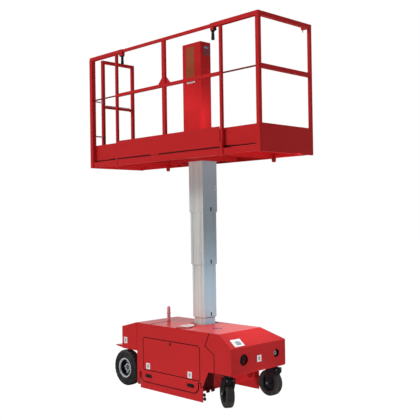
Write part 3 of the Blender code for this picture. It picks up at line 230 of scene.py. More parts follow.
# Castors
CASTOR_PIVOT, CASTOR_TRAIL = (0.760, 0.312), 0.045
CASTOR_TURN = {"near": -29.0, "far": 0.0}        # degrees, as in the CAD
CASTOR_R, CASTOR_HALF_W, CASTOR_RIM_R = 0.125, 0.0365, 0.078
CASTOR_STOPS = 72
CASTOR_BEAD = ((0.0, 0.86), (0.004, 0.97), (0.010, 0.97), (0.012, 1.0))      # rise, share of the half width
CASTOR_CROWN = ((0.014, 1.0), (0.008, 0.97), (0.003, 0.88), (0.0005, 0.74), (0.0, 0.55), (0.0, 0.10))
CASTOR_PLATE, CASTOR_PLATE_T, CASTOR_PLATE_Z = (0.118, 0.098, 0.006), 0.0078, 0.2958
CASTOR_BOLT, CASTOR_BOLT_X, CASTOR_BOLT_Y = (0.0070, 0.0065), 0.040, 0.031
AXLE_NUT, AXLE_NUT_Y = (0.0095, 0.006), 0.0498
FORK_BOLT, FORK_BOLT_AT = (0.0055, 0.005), (0.0575, 0.030, 0.262)
FORK_T, FORK_CHEEK_Y, FORK_FACE_X = 0.0030, 0.0468, 0.0545
FORK_CHEEK = [(-0.060, 0.272), (0.054, 0.272), (0.047, 0.225), (-0.022, 0.112), (-0.045, 0.103),
              (-0.068, 0.114), (-0.068, 0.200)]
FORK_FACE = [(-0.0465, 0.228), (-0.0280, 0.220), (0.0280, 0.220), (0.0465, 0.228), (0.0490, 0.272),
             (-0.0490, 0.272)]

# Mast, as in the CAD
MAST_X, MAST_Y = 0.091, 0.053
MAST_FOOT_HALF, MAST_FOOT_Z = 0.105, 0.1333
MAST_SECTIONS = {                                # body, half width, lower end
    "mast_outer": ("platform", 0.098, 1.769),
    "mast_upper": ("mast_upper", 0.09075, 1.249),
    "mast_lower": ("mast_lower", 0.0825, 0.729),
}
# black sheets in the hand slots are painted shade
HAND_SLOT, HAND_SLOT_Y, HAND_SLOT_Z = (0.0174, 0.0394, 0.001), 0.011, 0.028      # Z over the lower end
HAND_SLOT_SUNK, HAND_SLOT_T = 0.0035, 0.0030
MAST_MARKS = ((0.132, 2.022, 0.012, 0.016), (0.128, 1.990, 0.018, 0.014))        # y, z, width, height

# Platform, as in the CAD
RAIL_FACE_Y, POST_FACE_Y, POST_X, RAIL_Y = 0.369, 0.363, 0.765, -0.350
COLUMN_FACE_Y, COLUMN_SIDE_X = -0.052, 0.194
POST_BOLT, POST_BOLTS = (0.0052, 0.0026), ((POST_FACE_Y, 2.417), (RAIL_FACE_Y, 2.388))
GRIP_X, GRIP_TOP_Z = 0.6675, 3.4047
COLLAR_PROFILE = [(0.0165, 0), (0.0185, 0.0010), (0.0185, 0.0080), (0.0165, 0.0100)]
LATCH_X, LATCH_Z, LATCH, LATCH_REACH = 0.685, 3.416, (0.030, 0.026, 0.004), 0.016
# painted shadow in the gaps below the main platform's toe boards
TOE_GAPS = ((-0.752, -0.545), (-0.535, -0.205), (-0.095, 0.752))     # between the toe boards' tabs
TOE_GAP_Z, TOE_GAP_W = 2.3428, 0.0095
DECK_TOE_Y = 0.331
# painted shadow below each deck's near toe board, as (x, z) points
DECK_GAP = [(0.754, 2.3385), (1.212, 2.3385), (1.212, 2.3470), (0.950, 2.3490), (0.754, 2.3590)]
GAP_T = 0.0005
SLEEVE_T, SLEEVE_TAPER = 0.0006, 0.001
MID_RAIL_Z, MID_ROD_R, MID_ROD_SPAN = 3.005, 0.007, (0.790, 1.205)
END_RAIL_X, END_RAIL_SPAN, END_RAIL_R, END_RAIL_TIP_R = -1.2055, (-0.3215, -0.2215), 0.008, 0.00774
END_RAILS_Z = (2.620, 3.000)
# the entry strip is a painted highlight on the entry bar's top
ENTRY_BAR_TOP_Z, ENTRY_STRIP, ENTRY_STRIP_T = 2.964, (0.010, 0.330, 0.002), 0.011
FOOT_PIN = (0.770, 0.3505, 2.236)                # place and lower end of the pins below the far side
FOOT_PROFILE = [(0.0118, 0.0006), (0.0160, 0.0030), (0.0190, 0.0075), (0.0205, 0.0140), (0.0210, 0.0220),
                (0.0210, 0.0345)]


# Materials. The nodes' owner is a material or the world.

def add_node(owner, kind, inputs=None, **settings):
    """A shader node with its settings and its inputs' values or links."""
    item = owner.node_tree.nodes.new(kind)
    for key, value in settings.items():
        setattr(item, key, value)
    for key, value in (inputs or {}).items():
        if isinstance(value, bpy.types.NodeSocket):
            owner.node_tree.links.new(value, item.inputs[key])
        else:
            item.inputs[key].default_value = value
    return item


def noise(mat, scale, detail=3.0, stretch=(1, 1, 1), rough=0.55):
    """Noise in metres of the object's own space, drawn out along an axis by stretch."""
    place = add_node(mat, "ShaderNodeTexCoord").outputs["Object"]
    placed = add_node(mat, "ShaderNodeMapping", {"Vector": place, "Scale": stretch})
    grain = add_node(mat, "ShaderNodeTexNoise", {"Vector": placed.outputs["Vector"], "Scale": scale,
                                                 "Detail": detail, "Roughness": rough})
    return grain.outputs["Fac"]


def between(owner, factor, low, high, reach=(0.35, 0.65)):
    """A factor's reach, spread from one number to another."""
    spread = add_node(owner, "ShaderNodeMapRange", {"Value": factor, "From Min": reach[0],
                                                    "From Max": reach[1], "To Min": low, "To Max": high})
    return spread.outputs["Result"]


def blended(mat, factor, first, second):
    """The first colour where the factor is 0 and the second where it is 1."""
    mix = add_node(mat, "ShaderNodeMix", {0: factor, 6: first, 7: second}, data_type="RGBA")
    return mix.outputs[2]


def on_ends(mat):
    """A factor that is 1 on faces looking along the object's X axis and 0 on the others."""
    normal = add_node(mat, "ShaderNodeTexCoord").outputs["Normal"]
    along = add_node(mat, "ShaderNodeSeparateXYZ", {"Vector": normal}).outputs["X"]
    size = add_node(mat, "ShaderNodeMath", {0: along}, operation="ABSOLUTE")
    return between(mat, size.outputs["Value"], 0.0, 1.0, (0.4, 0.9))


def fade(mat, low, high, start, stop):
    """A factor that goes from start at the low height of the object's own space to stop at the high one."""
    place = add_node(mat, "ShaderNodeTexCoord").outputs["Object"]
    height = add_node(mat, "ShaderNodeSeparateXYZ", {"Vector": place}).outputs["Z"]
    return between(mat, height, start, stop, (low, high))


def surface(name, first, second, roughness, metallic=0.0, specular=0.5, patch=9.0, grain=420.0,
            depth=0.10, stretch=(1, 1, 1), share=0.5, vary=0.18, fades=(), ends=None):
    """A finish of two mottled colours with varied gloss and a fine bump.

    patch and grain are the mottling's and the bump's scale, share the second colour's part,
    vary the gloss's swing, depth the bump's strength. Each of fades has the heights and factors
    of a fade of the colour, painted light and shade by height, and ends is the colour of faces
    looking along X, painted shade on those faces."""
    mat = bpy.data.materials.new(name)
    mat.use_nodes = True
    shader = mat.node_tree.nodes["Principled BSDF"]
    shader.inputs["Metallic"].default_value = metallic
    shader.inputs["Specular IOR Level"].default_value = specular
    clouds = between(mat, noise(mat, patch, 4.0, stretch), 0.0, share)
    colour = blended(mat, clouds, first, second)
    if ends:
        colour = blended(mat, on_ends(mat), colour, ends)
    for heights_and_factors in fades:
        factor = fade(mat, *heights_and_factors)
        faded = add_node(mat, "ShaderNodeVectorMath", {0: colour, "Scale": factor}, operation="SCALE")
        colour = faded.outputs["Vector"]
    gloss = between(mat, noise(mat, patch * GLOSS_MOTTLING, 3.0, stretch), roughness * (1 - vary),
                    roughness * (1 + vary))
    fine = noise(mat, grain, 2.0, stretch)
    bump = add_node(mat, "ShaderNodeBump", {"Height": fine, "Strength": depth, "Distance": BUMP_HEIGHT})
    links = mat.node_tree.links
    links.new(colour, shader.inputs["Base Color"])
    links.new(gloss, shader.inputs["Roughness"])
    links.new(bump.outputs["Normal"], shader.inputs["Normal"])
    mat.diffuse_color = first
    return mat


def scaled(colour, factor):
    return tuple(channel * factor for channel in colour[:3]) + (1.0,)


def red_paint(name, **more):
    """The machine's gloss red, smooth and hardly mottled."""
    return surface(name, RED, scaled(RED, 0.96), 0.30, specular=0.30, patch=3.0, depth=0.02, vary=0.05,
                   **more)


PAINT = red_paint("gloss_red_paint")
# Painted shade: the hood's faces looking along X are painted 0.87 times as bright.
HOOD_PAINT = red_paint("hood_red_paint_shaded_ends", ends=scaled(RED, 0.87))
# Painted light: the column's red is 1.6 times as bright at 2.45 m, fading to plain at 3.35 m.
COLUMN_PAINT = red_paint("column_red_paint_painted_light", fades=((2.45, 3.35, 1.60, 1.0),))
PAINT_INSIDE = surface("shaded_red_paint", DARK_RED, scaled(DARK_RED, 0.7), 0.45, specular=0.3)
# Painted shade: the dark red of the patch and the clips in the castors' bay.
BAY_PAINTED_SHADE = surface("bay_painted_shade_red", scaled(DARK_RED, 0.32), scaled(DARK_RED, 0.2), 0.6, specular=0.2)
TREAD_PLATE = surface("gritty_red_paint", scaled(RED, 0.80), scaled(RED, 0.62), 0.55, specular=0.25,
                      patch=14.0, grain=160.0, depth=0.6)
ROD_PAINT = surface("dark_red_rod", ROD_RED, scaled(ROD_RED, 0.8), 0.45, specular=0.2)
# Pale pink red of the knob on the roof.
KNOB_PAINT = surface("pale_pink_paint", KNOB_PINK, scaled(KNOB_PINK, 0.9), 0.40, specular=0.3)
# Pale grey of the thin rails by the portal, and a painted highlight on the entry bar's top.
GREY_BAR_AND_HIGHLIGHT = surface("grey_bar_and_highlight", BAR_GREY_AND_HIGHLIGHT, scaled(BAR_GREY_AND_HIGHLIGHT, 0.8), 0.40)
# Dark joints, and painted shadow in the gaps below the toe boards and the side panels.
SEAM_AND_GAP_SHADE = surface("black_seam_and_gap_shade", SEAM_AND_GAP_SHADE_BLACK, scaled(SEAM_AND_GAP_SHADE_BLACK, 0.8), 0.70, specular=0.1)
# Painted light: the mast is painted brighter towards its foot and near its top, and a darker blue on faces
# along X.
MAST = surface("drawn_aluminium_painted_light", ALLOY, ALLOY_DULL, 0.42, metallic=0.15, patch=6.0, grain=260.0,
               depth=0.12, stretch=(9.0, 9.0, 0.22), share=0.8, ends=ALLOY_BLUE_PAINTED_SHADE,
               fades=((0.80, 1.35, 1.34, 1.0), (1.60, 2.15, 1.0, 1.15), (2.08, 2.25, 1.0, 1.08)))
TYRE = surface("tyre_rubber", RUBBER, RUBBER_DUSTY, 0.62, specular=0.35, patch=24.0, grain=900.0,
               depth=0.25, share=0.9)
CASTOR_TYRE = surface("castor_rubber", RUBBER_BROWN, scaled(RUBBER_BROWN, 0.6), 0.60, specular=0.3,
                      patch=24.0, grain=700.0, share=0.9)
RIM_METAL = surface("silver_rim", RIM_SILVER, scaled(RIM_SILVER, 0.75), 0.35, metallic=0.15, patch=50.0)
HUB_METAL = surface("grey_hub", HUB_GREY, scaled(HUB_GREY, 0.6), 0.40, metallic=0.4, patch=60.0)
BLACK_STEEL = surface("black_steel", BLACK, scaled(BLACK, 2.2), 0.38, specular=0.45, patch=30.0, share=0.8)
BLACK_PLASTIC = surface("black_plastic", BLACK, scaled(BLACK, 1.6), 0.48, grain=1500.0, depth=0.2)
BRIGHT_ZINC = surface("bright_zinc", ZINC, ZINC_DULL, 0.28, metallic=0.85, patch=60.0, share=0.9)
WHITE_LABEL = surface("white_label", LABEL_WHITE, scaled(LABEL_WHITE, 0.93), 0.35, patch=40.0)
GREY_LABEL = surface("grey_label", LABEL_GREY, scaled(LABEL_GREY, 0.8), 0.35, patch=90.0)
OLIVE_LABEL = surface("olive_label", LABEL_OLIVE, LABEL_OLIVE_DARK, 0.40, patch=38.0, share=1.0,
                      stretch=(1.6, 1.6, 0.7))
PLUM_LABEL = surface("plum_label", LABEL_PLUM, scaled(LABEL_PLUM, 1.6), 0.40, patch=110.0, share=1.0)

# Finish of the CAD's nodes that aren't plain red, by their names without a side or an end
NODE_LOOKS = {
    "front_hood": HOOD_PAINT, "rear_knob": KNOB_PAINT,
    "battery_pack": BLACK_PLASTIC, "power_unit": BLACK_STEEL, "drive_axle": BLACK_STEEL,
    # Painted shade: the drive rims are black, standing for the shade inside their barrels.
    "drive_rim": BLACK_STEEL, "drive_tyre": TYRE,
    "castor_fork": BLACK_STEEL, "castor_rim": BLACK_STEEL, "castor_tyre": CASTOR_TYRE,
    "mast_base": MAST, "mast_lower": MAST, "mast_upper": MAST, "mast_outer": MAST,
    "control_column": COLUMN_PAINT, "mast_head_cover": COLUMN_PAINT,
    "platform_floor": TREAD_PLATE, "lock_grip": BLACK_PLASTIC,
}


def family(name):
    """A node's name without its side or end."""
    stem, _, last = name.rpartition("_")
    return stem if last in SIDES or last in ENDS else name


def dress_nodes():
    """Give the CAD's own nodes their finish and softly rounded edges."""
    for name, node in NODES.items():
        node.data.materials.clear()
        node.data.materials.append(NODE_LOOKS.get(family(name), PAINT))
        round_edges(node, EDGE.get(name, EDGE_PLAIN))


def round_edges(obj, width, segments=2):
    bevel = obj.modifiers.new("edges", "BEVEL")
    bevel.width = width
    bevel.segments = segments
    bevel.limit_method = "ANGLE"
    bevel.angle_limit = SMOOTH_ANGLE
    bevel.harden_normals = True
    obj.data.shade_smooth()


# Shapes, added to a bmesh. Each is built about local Z, with Z = 0 on what carries it.

def turned(bm, profile, place, sides=32, slot=0, closed=False):
    """A surface of revolution of (radius, height) points about Z."""
    angles = [2 * math.pi * k / sides for k in range(sides)]
    rings = []
    for radius, height in profile:
        spots = [Vector((radius * math.cos(a), radius * math.sin(a), height)) for a in angles]
        rings.append([bm.verts.new(place @ spot) for spot in spots])
    pairs = list(zip(rings, rings[1:])) + ([(rings[-1], rings[0])] if closed else [])
    faces = []
    for lower, upper in pairs:
        for k in range(sides):
            after = (k + 1) % sides
            faces.append(bm.faces.new((lower[k], lower[after], upper[after], upper[k])))
    if not closed:
        faces += [bm.faces.new(rings[0]), bm.faces.new(rings[-1])]
    for face in faces:
        face.material_index = slot


def plate(bm, outline, thick, place, slot=0):
    """An outline of (x, y) points extruded from Z = 0."""
    low = [bm.verts.new(place @ Vector((x, y, 0))) for x, y in outline]
    high = [bm.verts.new(place @ Vector((x, y, thick))) for x, y in outline]
    faces = [bm.faces.new(low), bm.faces.new(high)]
    count = len(outline)
    for k in range(count):
        after = (k + 1) % count
        faces.append(bm.faces.new((low[k], low[after], high[after], high[k])))
    for face in faces:
        face.material_index = slot


def rounded_rect(width, height, radius, steps=5):
    """A rectangle's outline round the origin, its corners arcs of a radius."""
    outline = []
    x, y = width / 2 - radius, height / 2 - radius
    for quarter, (corner_x, corner_y) in enumerate(((x, y), (-x, y), (-x, -y), (x, -y))):
        for k in range(steps + 1):
            angle = math.pi / 2 * (quarter + k / steps)
            outline.append((corner_x + radius * math.cos(angle), corner_y + radius * math.sin(angle)))
    return outline


def ribbon(path, width, shift=0.0):
    """Outline of a band along an open path of (x, y) points, its corners mitred.

    shift moves its middle to the path's right."""
    points = [Vector(point) for point in path]
    ways = [(b - a).normalized() for a, b in zip(points, points[1:])]
    sides = [Vector((way.y, -way.x)) for way in ways]
    left, right = [], []
    for k, point in enumerate(points):
        before, after = sides[max(k - 1, 0)], sides[min(k, len(sides) - 1)]
        corner = (before + after) / (1 + before.dot(after))
        right.append(point + corner * (shift + width / 2))
        left.append(point + corner * (shift - width / 2))
    return right + left[::-1]


def strip(bm, path, width, thick, place, shift=0.0):
    """A band along an open path, made of one plate for each stretch."""
    outline = ribbon(path, width, shift)
    last = len(outline) - 1
    for k in range(len(path) - 1):
        plate(bm, [outline[k], outline[k + 1], outline[last - k - 1], outline[last - k]], thick, place)


def hex_bolt(bm, radius, height, place):
    """Hexagon head on a washer."""
    turned(bm, [(radius * out, radius * rise) for out, rise in WASHER_PROFILE], place, 24)
    turned(bm, [(radius, radius * HEAD_SEAT), (radius, height * HEAD_BEVEL_FROM),
                (radius * HEAD_TOP, height)], place, 6)


def domed_bolt(bm, radius, height, place):
    turned(bm, [(radius * math.cos(a), height * math.sin(a)) for a in DOME_ANGLES], place, 20)


def sleeve(bm, tip_radius, radius, span, place, sides):
    """A thin coat round a rod along local Z, tapered at both ends."""
    length = span[1] - span[0]
    turned(bm, [(tip_radius, 0), (radius, SLEEVE_TAPER), (radius, length - SLEEVE_TAPER),
                (tip_radius, length)], place, sides)


def facing(point, normal, up=UP):
    """Placement whose Z is a surface's normal and whose Y points up along it."""
    z = Vector(normal).normalized()
    x = Vector(up).cross(z).normalized()
    y = z.cross(x)
    turn = Matrix((x, y, z)).transposed().to_4x4()
    return Matrix.Translation(Vector(point)) @ turn


def outward(side, y, x=0.0, z=0.0):
    """Placement on a face that looks out on one long side."""
    sign = SIDES[side]
    return facing((x, sign * y, z), (0, sign, 0))


def on_side(sign, path):
    """An (x, z) path in the coordinates of a face that looks out on the side with this sign."""
    return [(-sign * x, z) for x, z in path]


def piece(name, bm, looks, body, edge=0.0):
    """A finished piece of the scene, riding on a CAD body."""
    bmesh.ops.recalc_face_normals(bm, faces=bm.faces)
    mesh = bpy.data.meshes.new(name)
    bm.to_mesh(mesh)
    bm.free()
    for mat in looks:
        mesh.materials.append(mat)
    mesh.shade_smooth()
    mesh.set_sharp_from_angle(angle=SMOOTH_ANGLE)
    obj = bpy.data.objects.new(name, mesh)
    bpy.context.scene.collection.objects.link(obj)
    if edge:
        round_edges(obj, edge)
    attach(obj, body)
    return obj


# Labels, left blank

def label(name, place, size, looks, body, patch=None, patch_shift=(0, 0)):
    """A blank sticker, with a plain patch of the second look on it if a patch size is given."""
    bm = bmesh.new()
    plate(bm, rounded_rect(*size, LABEL_CORNER), LABEL_T, place)
    if patch:
        lifted = place @ Matrix.Translation((*patch_shift, LABEL_T))
        plate(bm, rounded_rect(*patch, PATCH_CORNER), LABEL_T / 2, lifted, slot=1)
    return piece("label_" + name, bm, looks, body)


def labels():
    """Stickers on the chassis and the column, where the photograph shows them."""
    two_tone = (WHITE_LABEL, GREY_LABEL)
    for name, point, normal, size, body, patch in (
            ("door_rear", (-0.290, -PANEL_Y, 0.248), NEAR, LABEL_SMALL, "door_near", LABEL_MARK),
            ("door_front", (0.315, -PANEL_Y, 0.248), NEAR, LABEL_SMALL, "door_near", LABEL_MARK),
            ("rear_corner", (-0.646, -PANEL_Y, 0.468), NEAR, (0.052, 0.064), "chassis", LABEL_MARK),
            ("front", (FRONT_X, -0.001, 0.417), FORWARD, LABEL_SMALL, "chassis", LABEL_MARK)):
        label(name, facing(point, normal), size, two_tone, body, patch)
    roof = facing((0.095, -0.185, ROOF_Z), UP, (0, 1, 0))
    label("roof", roof, (0.110, 0.120), two_tone, "chassis", (0.070, 0.050))
    run, fall = SLOPE_FOOT[0] - SLOPE_TOP[0], SLOPE_FOOT[1] - SLOPE_TOP[1]
    down = 0.69                                  # how far down the slope its label sits
    spot = (SLOPE_TOP[0] + run * down, -0.240, SLOPE_TOP[1] + fall * down)
    slope = facing(spot, (-fall, 0, run), (-run, 0, -fall))
    label("slope", slope, (0.128, 0.088), two_tone, "chassis", (0.060, 0.045), (0.008, -0.004))
    tall = facing((0.043, COLUMN_FACE_Y, 3.264), NEAR)
    label("column_tall", tall, (0.116, 0.306), (OLIVE_LABEL,), "platform")
    below = facing((0.051, COLUMN_FACE_Y, 3.067), NEAR)
    label("column_strip", below, (0.116, 0.028), two_tone, "platform", (0.080, 0.012))
    narrow = facing((COLUMN_SIDE_X, 0.028, 3.366), FORWARD)
    label("column_side", narrow, (0.090, 0.098), (PLUM_LABEL, GREY_LABEL), "platform", (0.060, 0.020),
          (0, 0.030))


# Chassis pieces

def door_edge(side):
    """A side door's edge as (x, z) points, from its front foot over the top to its rear foot."""
    x0, x1 = DOOR_X
    foot = DOOR_FOOT_Z + DOOR_SEAM_RISE
    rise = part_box("side_door_" + side)[1].z - foot
    rim = rounded_rect(x1 - x0, 2 * rise, DOOR_CORNER)
    over = [((x0 + x1) / 2 + x, foot + z) for x, z in rim if z > 0]
    return [(x1, foot)] + over + [(x0, foot)]


def seam_strips():
    """Dark joints round the side doors, before the hood and below the side panels, the last also painted
    shadow.
    """
    for side, sign in SIDES.items():
        face = outward(side, PANEL_Y)
        bm = bmesh.new()
        strip(bm, on_side(sign, door_edge(side)), SEAM_W, SEAM_T, face, -sign * DOOR_SEAM_SHIFT)
        piece("door_seal_" + side, bm, (SEAM_AND_GAP_SHADE,), "door_" + side)
        bm = bmesh.new()
        strip(bm, on_side(sign, HOOD_EDGE[side]), SEAM_W, SEAM_T, face)
        foot = outward(side, GUARD_OUT_Y + FOOT_SEAM_GAP)
        strip(bm, on_side(sign, PANEL_FOOT), FOOT_SEAM_W, FOOT_SEAM_T, foot, sign * FOOT_SEAM_W / 2)
        hinge = [(x, DOOR_FOOT_Z - HINGE_SEAM_DROP) for x in DOOR_X]
        strip(bm, on_side(sign, hinge), SEAM_W, SEAM_T, face)
        piece("panel_seams_" + side, bm, (SEAM_AND_GAP_SHADE,), "chassis")


def roof_seams():
    """Dark raised strips on the roof: along the joint before the mast, and a thin line behind the knob."""
    bm = bmesh.new()
    for path, width, height in ROOF_BEADS:
        strip(bm, path, width, height, Matrix.Translation((0, 0, ROOF_Z)))
    piece("roof_seams", bm, (SEAM_AND_GAP_SHADE,), "chassis")


def guard_fittings():
    """Rollers at the near guard's front end, and the far guard's guide plate with its bolts."""
    bm = bmesh.new()
    for reach, z in ROLLERS:
        turned(bm, ROLLER_PROFILE, facing((GUARD_FRONT_X + reach, -GUARD_IN_Y, z), (0, 1, 0)), 28)
    piece("guard_rollers_near", bm, (BLACK_STEEL,), "guard_near")
    bm = bmesh.new()
    plate(bm, GUIDE_PLATE, GUIDE_T, facing((0, GUARD_IN_Y, 0), NEAR))
    piece("guard_guide_far", bm, (PAINT,), "guard_far", edge=0.001)
    bm = bmesh.new()
    for x, z in GUIDE_BOLTS:
        domed_bolt(bm, *GUIDE_BOLT, facing((x, GUARD_IN_Y - GUIDE_T, z), NEAR))
    piece("guard_guide_bolts_far", bm, (BLACK_STEEL,), "guard_far")


def bay_wall_shade():
    """Painted shade on the wall behind the castors: a dark patch and dark clips, with a pressed disc in
    shaded red.
    """
    wall = facing((WALL_X, 0, 0), FORWARD)
    bm = bmesh.new()
    plate(bm, SHADE_PATCH, SHADE_PATCH_T, wall)
    piece("bay_wall_shade", bm, (BAY_PAINTED_SHADE,), "chassis")
    bm = bmesh.new()
    turned(bm, DISC_PROFILE, facing((WALL_X, *DISC_AT), FORWARD), 48)
    piece("bay_disc", bm, (PAINT_INSIDE,), "chassis")
    bm = bmesh.new()
    for middle in CLIPS_Y:
        plate(bm, [(middle + y, z) for y, z in CLIP], CLIP_T, wall)
    piece("bay_clips", bm, (BAY_PAINTED_SHADE,), "chassis", edge=0.001)


def lift_slot_pockets():
    """Painted shade: black backs in the two slots in each side panel."""
    for side in SIDES:
        bm = bmesh.new()
        for x in SLOT_X:
            back = outward(side, PANEL_Y - POCKET_SUNK, x, SLOT_Z)
            plate(bm, rounded_rect(*POCKET_SIZE), SLOT_BACK_T, back)
        piece("slot_pockets_" + side, bm, (BLACK_STEEL,), "chassis")


def door_locks():
    """Oval escutcheon with a key barrel near the top of each side door."""
    for side in SIDES:
        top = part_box("side_door_" + side)[1].z
        place = outward(side, PANEL_Y, DOOR_LOCK_X, top - DOOR_LOCK_DROP)
        bm = bmesh.new()
        plate(bm, rounded_rect(*ESCUTCHEON, steps=8), ESCUTCHEON_T, place)
        turned(bm, BARREL_PROFILE, place @ Matrix.Translation((0, BARREL_UP, ESCUTCHEON_T)), 24)
        piece("door_lock_" + side, bm, (BLACK_STEEL,), "door_" + side, edge=0.0006)


def lamp_cups():
    """A dark cup with a socket behind each round opening in the front."""
    for side, (y, radius) in LAMPS.items():
        outer, bore = radius + CUP_WALL, radius + CUP_GAP
        bm = bmesh.new()
        turned(bm, [(outer, 0), (outer, CUP_DEPTH), (CUP_HOLE_R, CUP_DEPTH), (CUP_HOLE_R, CUP_FLOOR),
                    (bore, CUP_FLOOR), (bore, 0)], facing((FRONT_X - CUP_SET, y, LAMP_Z), (-1, 0, 0)), 40,
               closed=True)
        piece("lamp_cup_" + side, bm, (BLACK_PLASTIC,), "chassis")
        bm = bmesh.new()
        turned(bm, SOCKET_PROFILE, facing((FRONT_X - SOCKET_SET, y, LAMP_Z), FORWARD), 32)
        piece("lamp_socket_" + side, bm, (BLACK_STEEL,), "chassis")


def lamp_faces():
    """What fills the two cups: a red plate with black buttons, and a pale ring."""
    y, radius = LAMPS["near"]
    back = facing((FRONT_X - LAMP_PLATE_SET, y, LAMP_Z), FORWARD)
    bm = bmesh.new()
    turned(bm, [(radius, 0), (radius, LAMP_PLATE_T), (0.001, LAMP_PLATE_T)], back, 40)
    piece("lamp_plate_near", bm, (PAINT_INSIDE,), "chassis")
    bm = bmesh.new()
    for across, up, size in BUTTONS:
        profile = [(size * share, height) for share, height in BUTTON_PROFILE] + [BUTTON_TOP]
        turned(bm, profile, back @ Matrix.Translation((across, up, LAMP_PLATE_T)), 28)
    piece("lamp_buttons_near", bm, (BLACK_STEEL,), "chassis")
    bm = bmesh.new()
    ring = facing((FRONT_X - RING_SET, LAMPS["far"][0], LAMP_Z), FORWARD)
    turned(bm, RING_PROFILE, ring, 32, closed=True)
    piece("lamp_ring_far", bm, (RIM_METAL,), "chassis")


def chassis_bolts():
    """Domed bolts in the front and hexagon bolts on the mast's foot."""
    bm = bmesh.new()
    for y in FRONT_BOLTS_Y:
        domed_bolt(bm, *FRONT_BOLT, facing((FRONT_X, y, FRONT_BOLTS_Z), FORWARD))
    piece("front_bolts", bm, (PAINT_INSIDE,), "chassis")
    bm = bmesh.new()
    reach = MAST_FOOT_HALF - FOOT_BOLT_INSET
    for x in (-reach, reach):
        for y in (-reach, reach):
            hex_bolt(bm, *FOOT_BOLT, Matrix.Translation((MAST_X + x, MAST_Y + y, MAST_FOOT_Z)))
    piece("mast_foot_bolts", bm, (BRIGHT_ZINC,), "chassis", edge=0.0005)


def roof_slots():
    """Painted shade: three short black sheets in the hood's roof, for the shade in its slots."""
    bm = bmesh.new()
    turn = Matrix.Rotation(ROOF_SLOT_TURN, 4, "Z")
    for x, y in ROOF_SLOTS:
        place = Matrix.Translation((x, y, ROOF_Z - ROOF_SLOT_SUNK)) @ turn
        plate(bm, rounded_rect(*ROOF_SLOT_SIZE), SLOT_BACK_T, place)
    piece("roof_slots", bm, (BLACK_STEEL,), "chassis")


# Wheels

def mirrored(half_section):
    """A closed section of (radius, outboard) points from its outboard half."""
    return half_section + [(r, -o) for r, o in reversed(half_section)]


def drive_section():
    """A drive tyre's section: bead, ribbed sidewall, shoulder and a groove round the middle."""
    depth = WHEEL_R - RIM_R
    points = [(RIM_R + depth * rise, TYRE_HALF_W * out) for rise, out in TYRE_BEAD]
    for k in range(RIBS):
        start = RIM_R + depth * (RIB_FROM + RIB_BAND * k / RIBS)
        swell = TYRE_HALF_W * (WALL_FLAT + WALL_SWELL * math.sin(math.pi * (k + 1) / RIBS))
        points.append((start, swell - RIB_STEP))
        points += [(start + depth * share, swell) for share in RIB_SHARES]
    points += [(RIM_R + depth * rise, TYRE_HALF_W * out) for rise, out in TYRE_SHOULDER]
    points += [(WHEEL_R - TYRE_GROOVE, TYRE_HALF_W * out) for out in TYRE_GROOVE_SHARES]
    return mirrored(points)


def drive_stops():
    """(angle, section) stops round a drive tyre, with one at each end of each wall of its cross grooves."""
    plain = drive_section()
    shoulder = RIM_R + (WHEEL_R - RIM_R) * LUG_FROM
    grooved = [(r - LUG_DEPTH if r > shoulder and abs(o) > TYRE_HALF_W * LUG_INNER else r, o)
               for r, o in plain]
    for k in range(LUGS):
        for share, in_groove in LUG_STOPS:
            yield 2 * math.pi / LUGS * (k + share), grooved if in_groove else plain


def castor_stops():
    """(angle, section) stops round a castor's smooth tyre with square shoulders."""
    half = [(CASTOR_RIM_R + rise, CASTOR_HALF_W * out) for rise, out in CASTOR_BEAD]
    half += [(CASTOR_R - fall, CASTOR_HALF_W * out) for fall, out in CASTOR_CROWN]
    section = mirrored(half)
    for k in range(CASTOR_STOPS):
        yield 2 * math.pi * k / CASTOR_STOPS, section


def tyre(name, look, stops, place, body):
    """A tyre about local Z, through closed sections at stops round it."""
    bm = bmesh.new()
    columns = []
    for angle, section in stops:
        spots = [Vector((r * math.cos(angle), r * math.sin(angle), o)) for r, o in section]
        columns.append([bm.verts.new(place @ spot) for spot in spots])
    count = len(columns[0])
    for left, right in zip(columns, columns[1:] + columns[:1]):
        for k in range(count):
            after = (k + 1) % count
            bm.faces.new((left[k], right[k], right[after], left[after]))
    return piece(name, bm, (look,), body)


def raised(profile, height):
    """A (radius, height) profile moved outboard."""
    return [(r, h + height) for r, h in profile]


def drive_wheel(side):
    """A drive wheel's lugged tyre, and the trim, hub and nuts of its rim."""
    x, y, z = WHEEL_AT
    body = "drive_wheel_" + side
    place = outward(side, y, x, z)
    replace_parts(tyre("tyre_" + side, TYRE, drive_stops(), place, body), "drive_tyre_" + side)
    bm = bmesh.new()
    turned(bm, raised(RIM_PROFILE, RIM_LIP), place, 64, closed=True)
    turned(bm, raised(HUB_PROFILE, HUB_FACE), place, 48)
    turned(bm, raised(HUB_CAP_PROFILE, HUB_FACE), place, 48, slot=1)
    for k in range(WHEEL_NUTS):
        spin = Matrix.Rotation(2 * math.pi * (k + 0.5) / WHEEL_NUTS, 4, "Z")
        spot = Matrix.Translation((WHEEL_NUT_CIRCLE, 0, WHEEL_NUT_Z))
        hex_bolt(bm, *WHEEL_NUT, place @ spin @ spot)
    piece("rim_trim_" + side, bm, (RIM_METAL, HUB_METAL), body)


def castor_swivel(side):
    """Placement on the floor below a castor's pivot, turned with its fork."""
    pivot = Matrix.Translation((CASTOR_PIVOT[0], SIDES[side] * CASTOR_PIVOT[1], 0))
    return pivot @ Matrix.Rotation(math.radians(CASTOR_TURN[side]), 4, "Z")


def castor_tread(side):
    """A castor's tyre, on the axle that trails behind its pivot."""
    hub = castor_swivel(side) @ facing((-CASTOR_TRAIL, 0, CASTOR_R), (0, SIDES[side], 0))
    return tyre("castor_tread_" + side, CASTOR_TYRE, castor_stops(), hub, "castor_wheel_" + side)


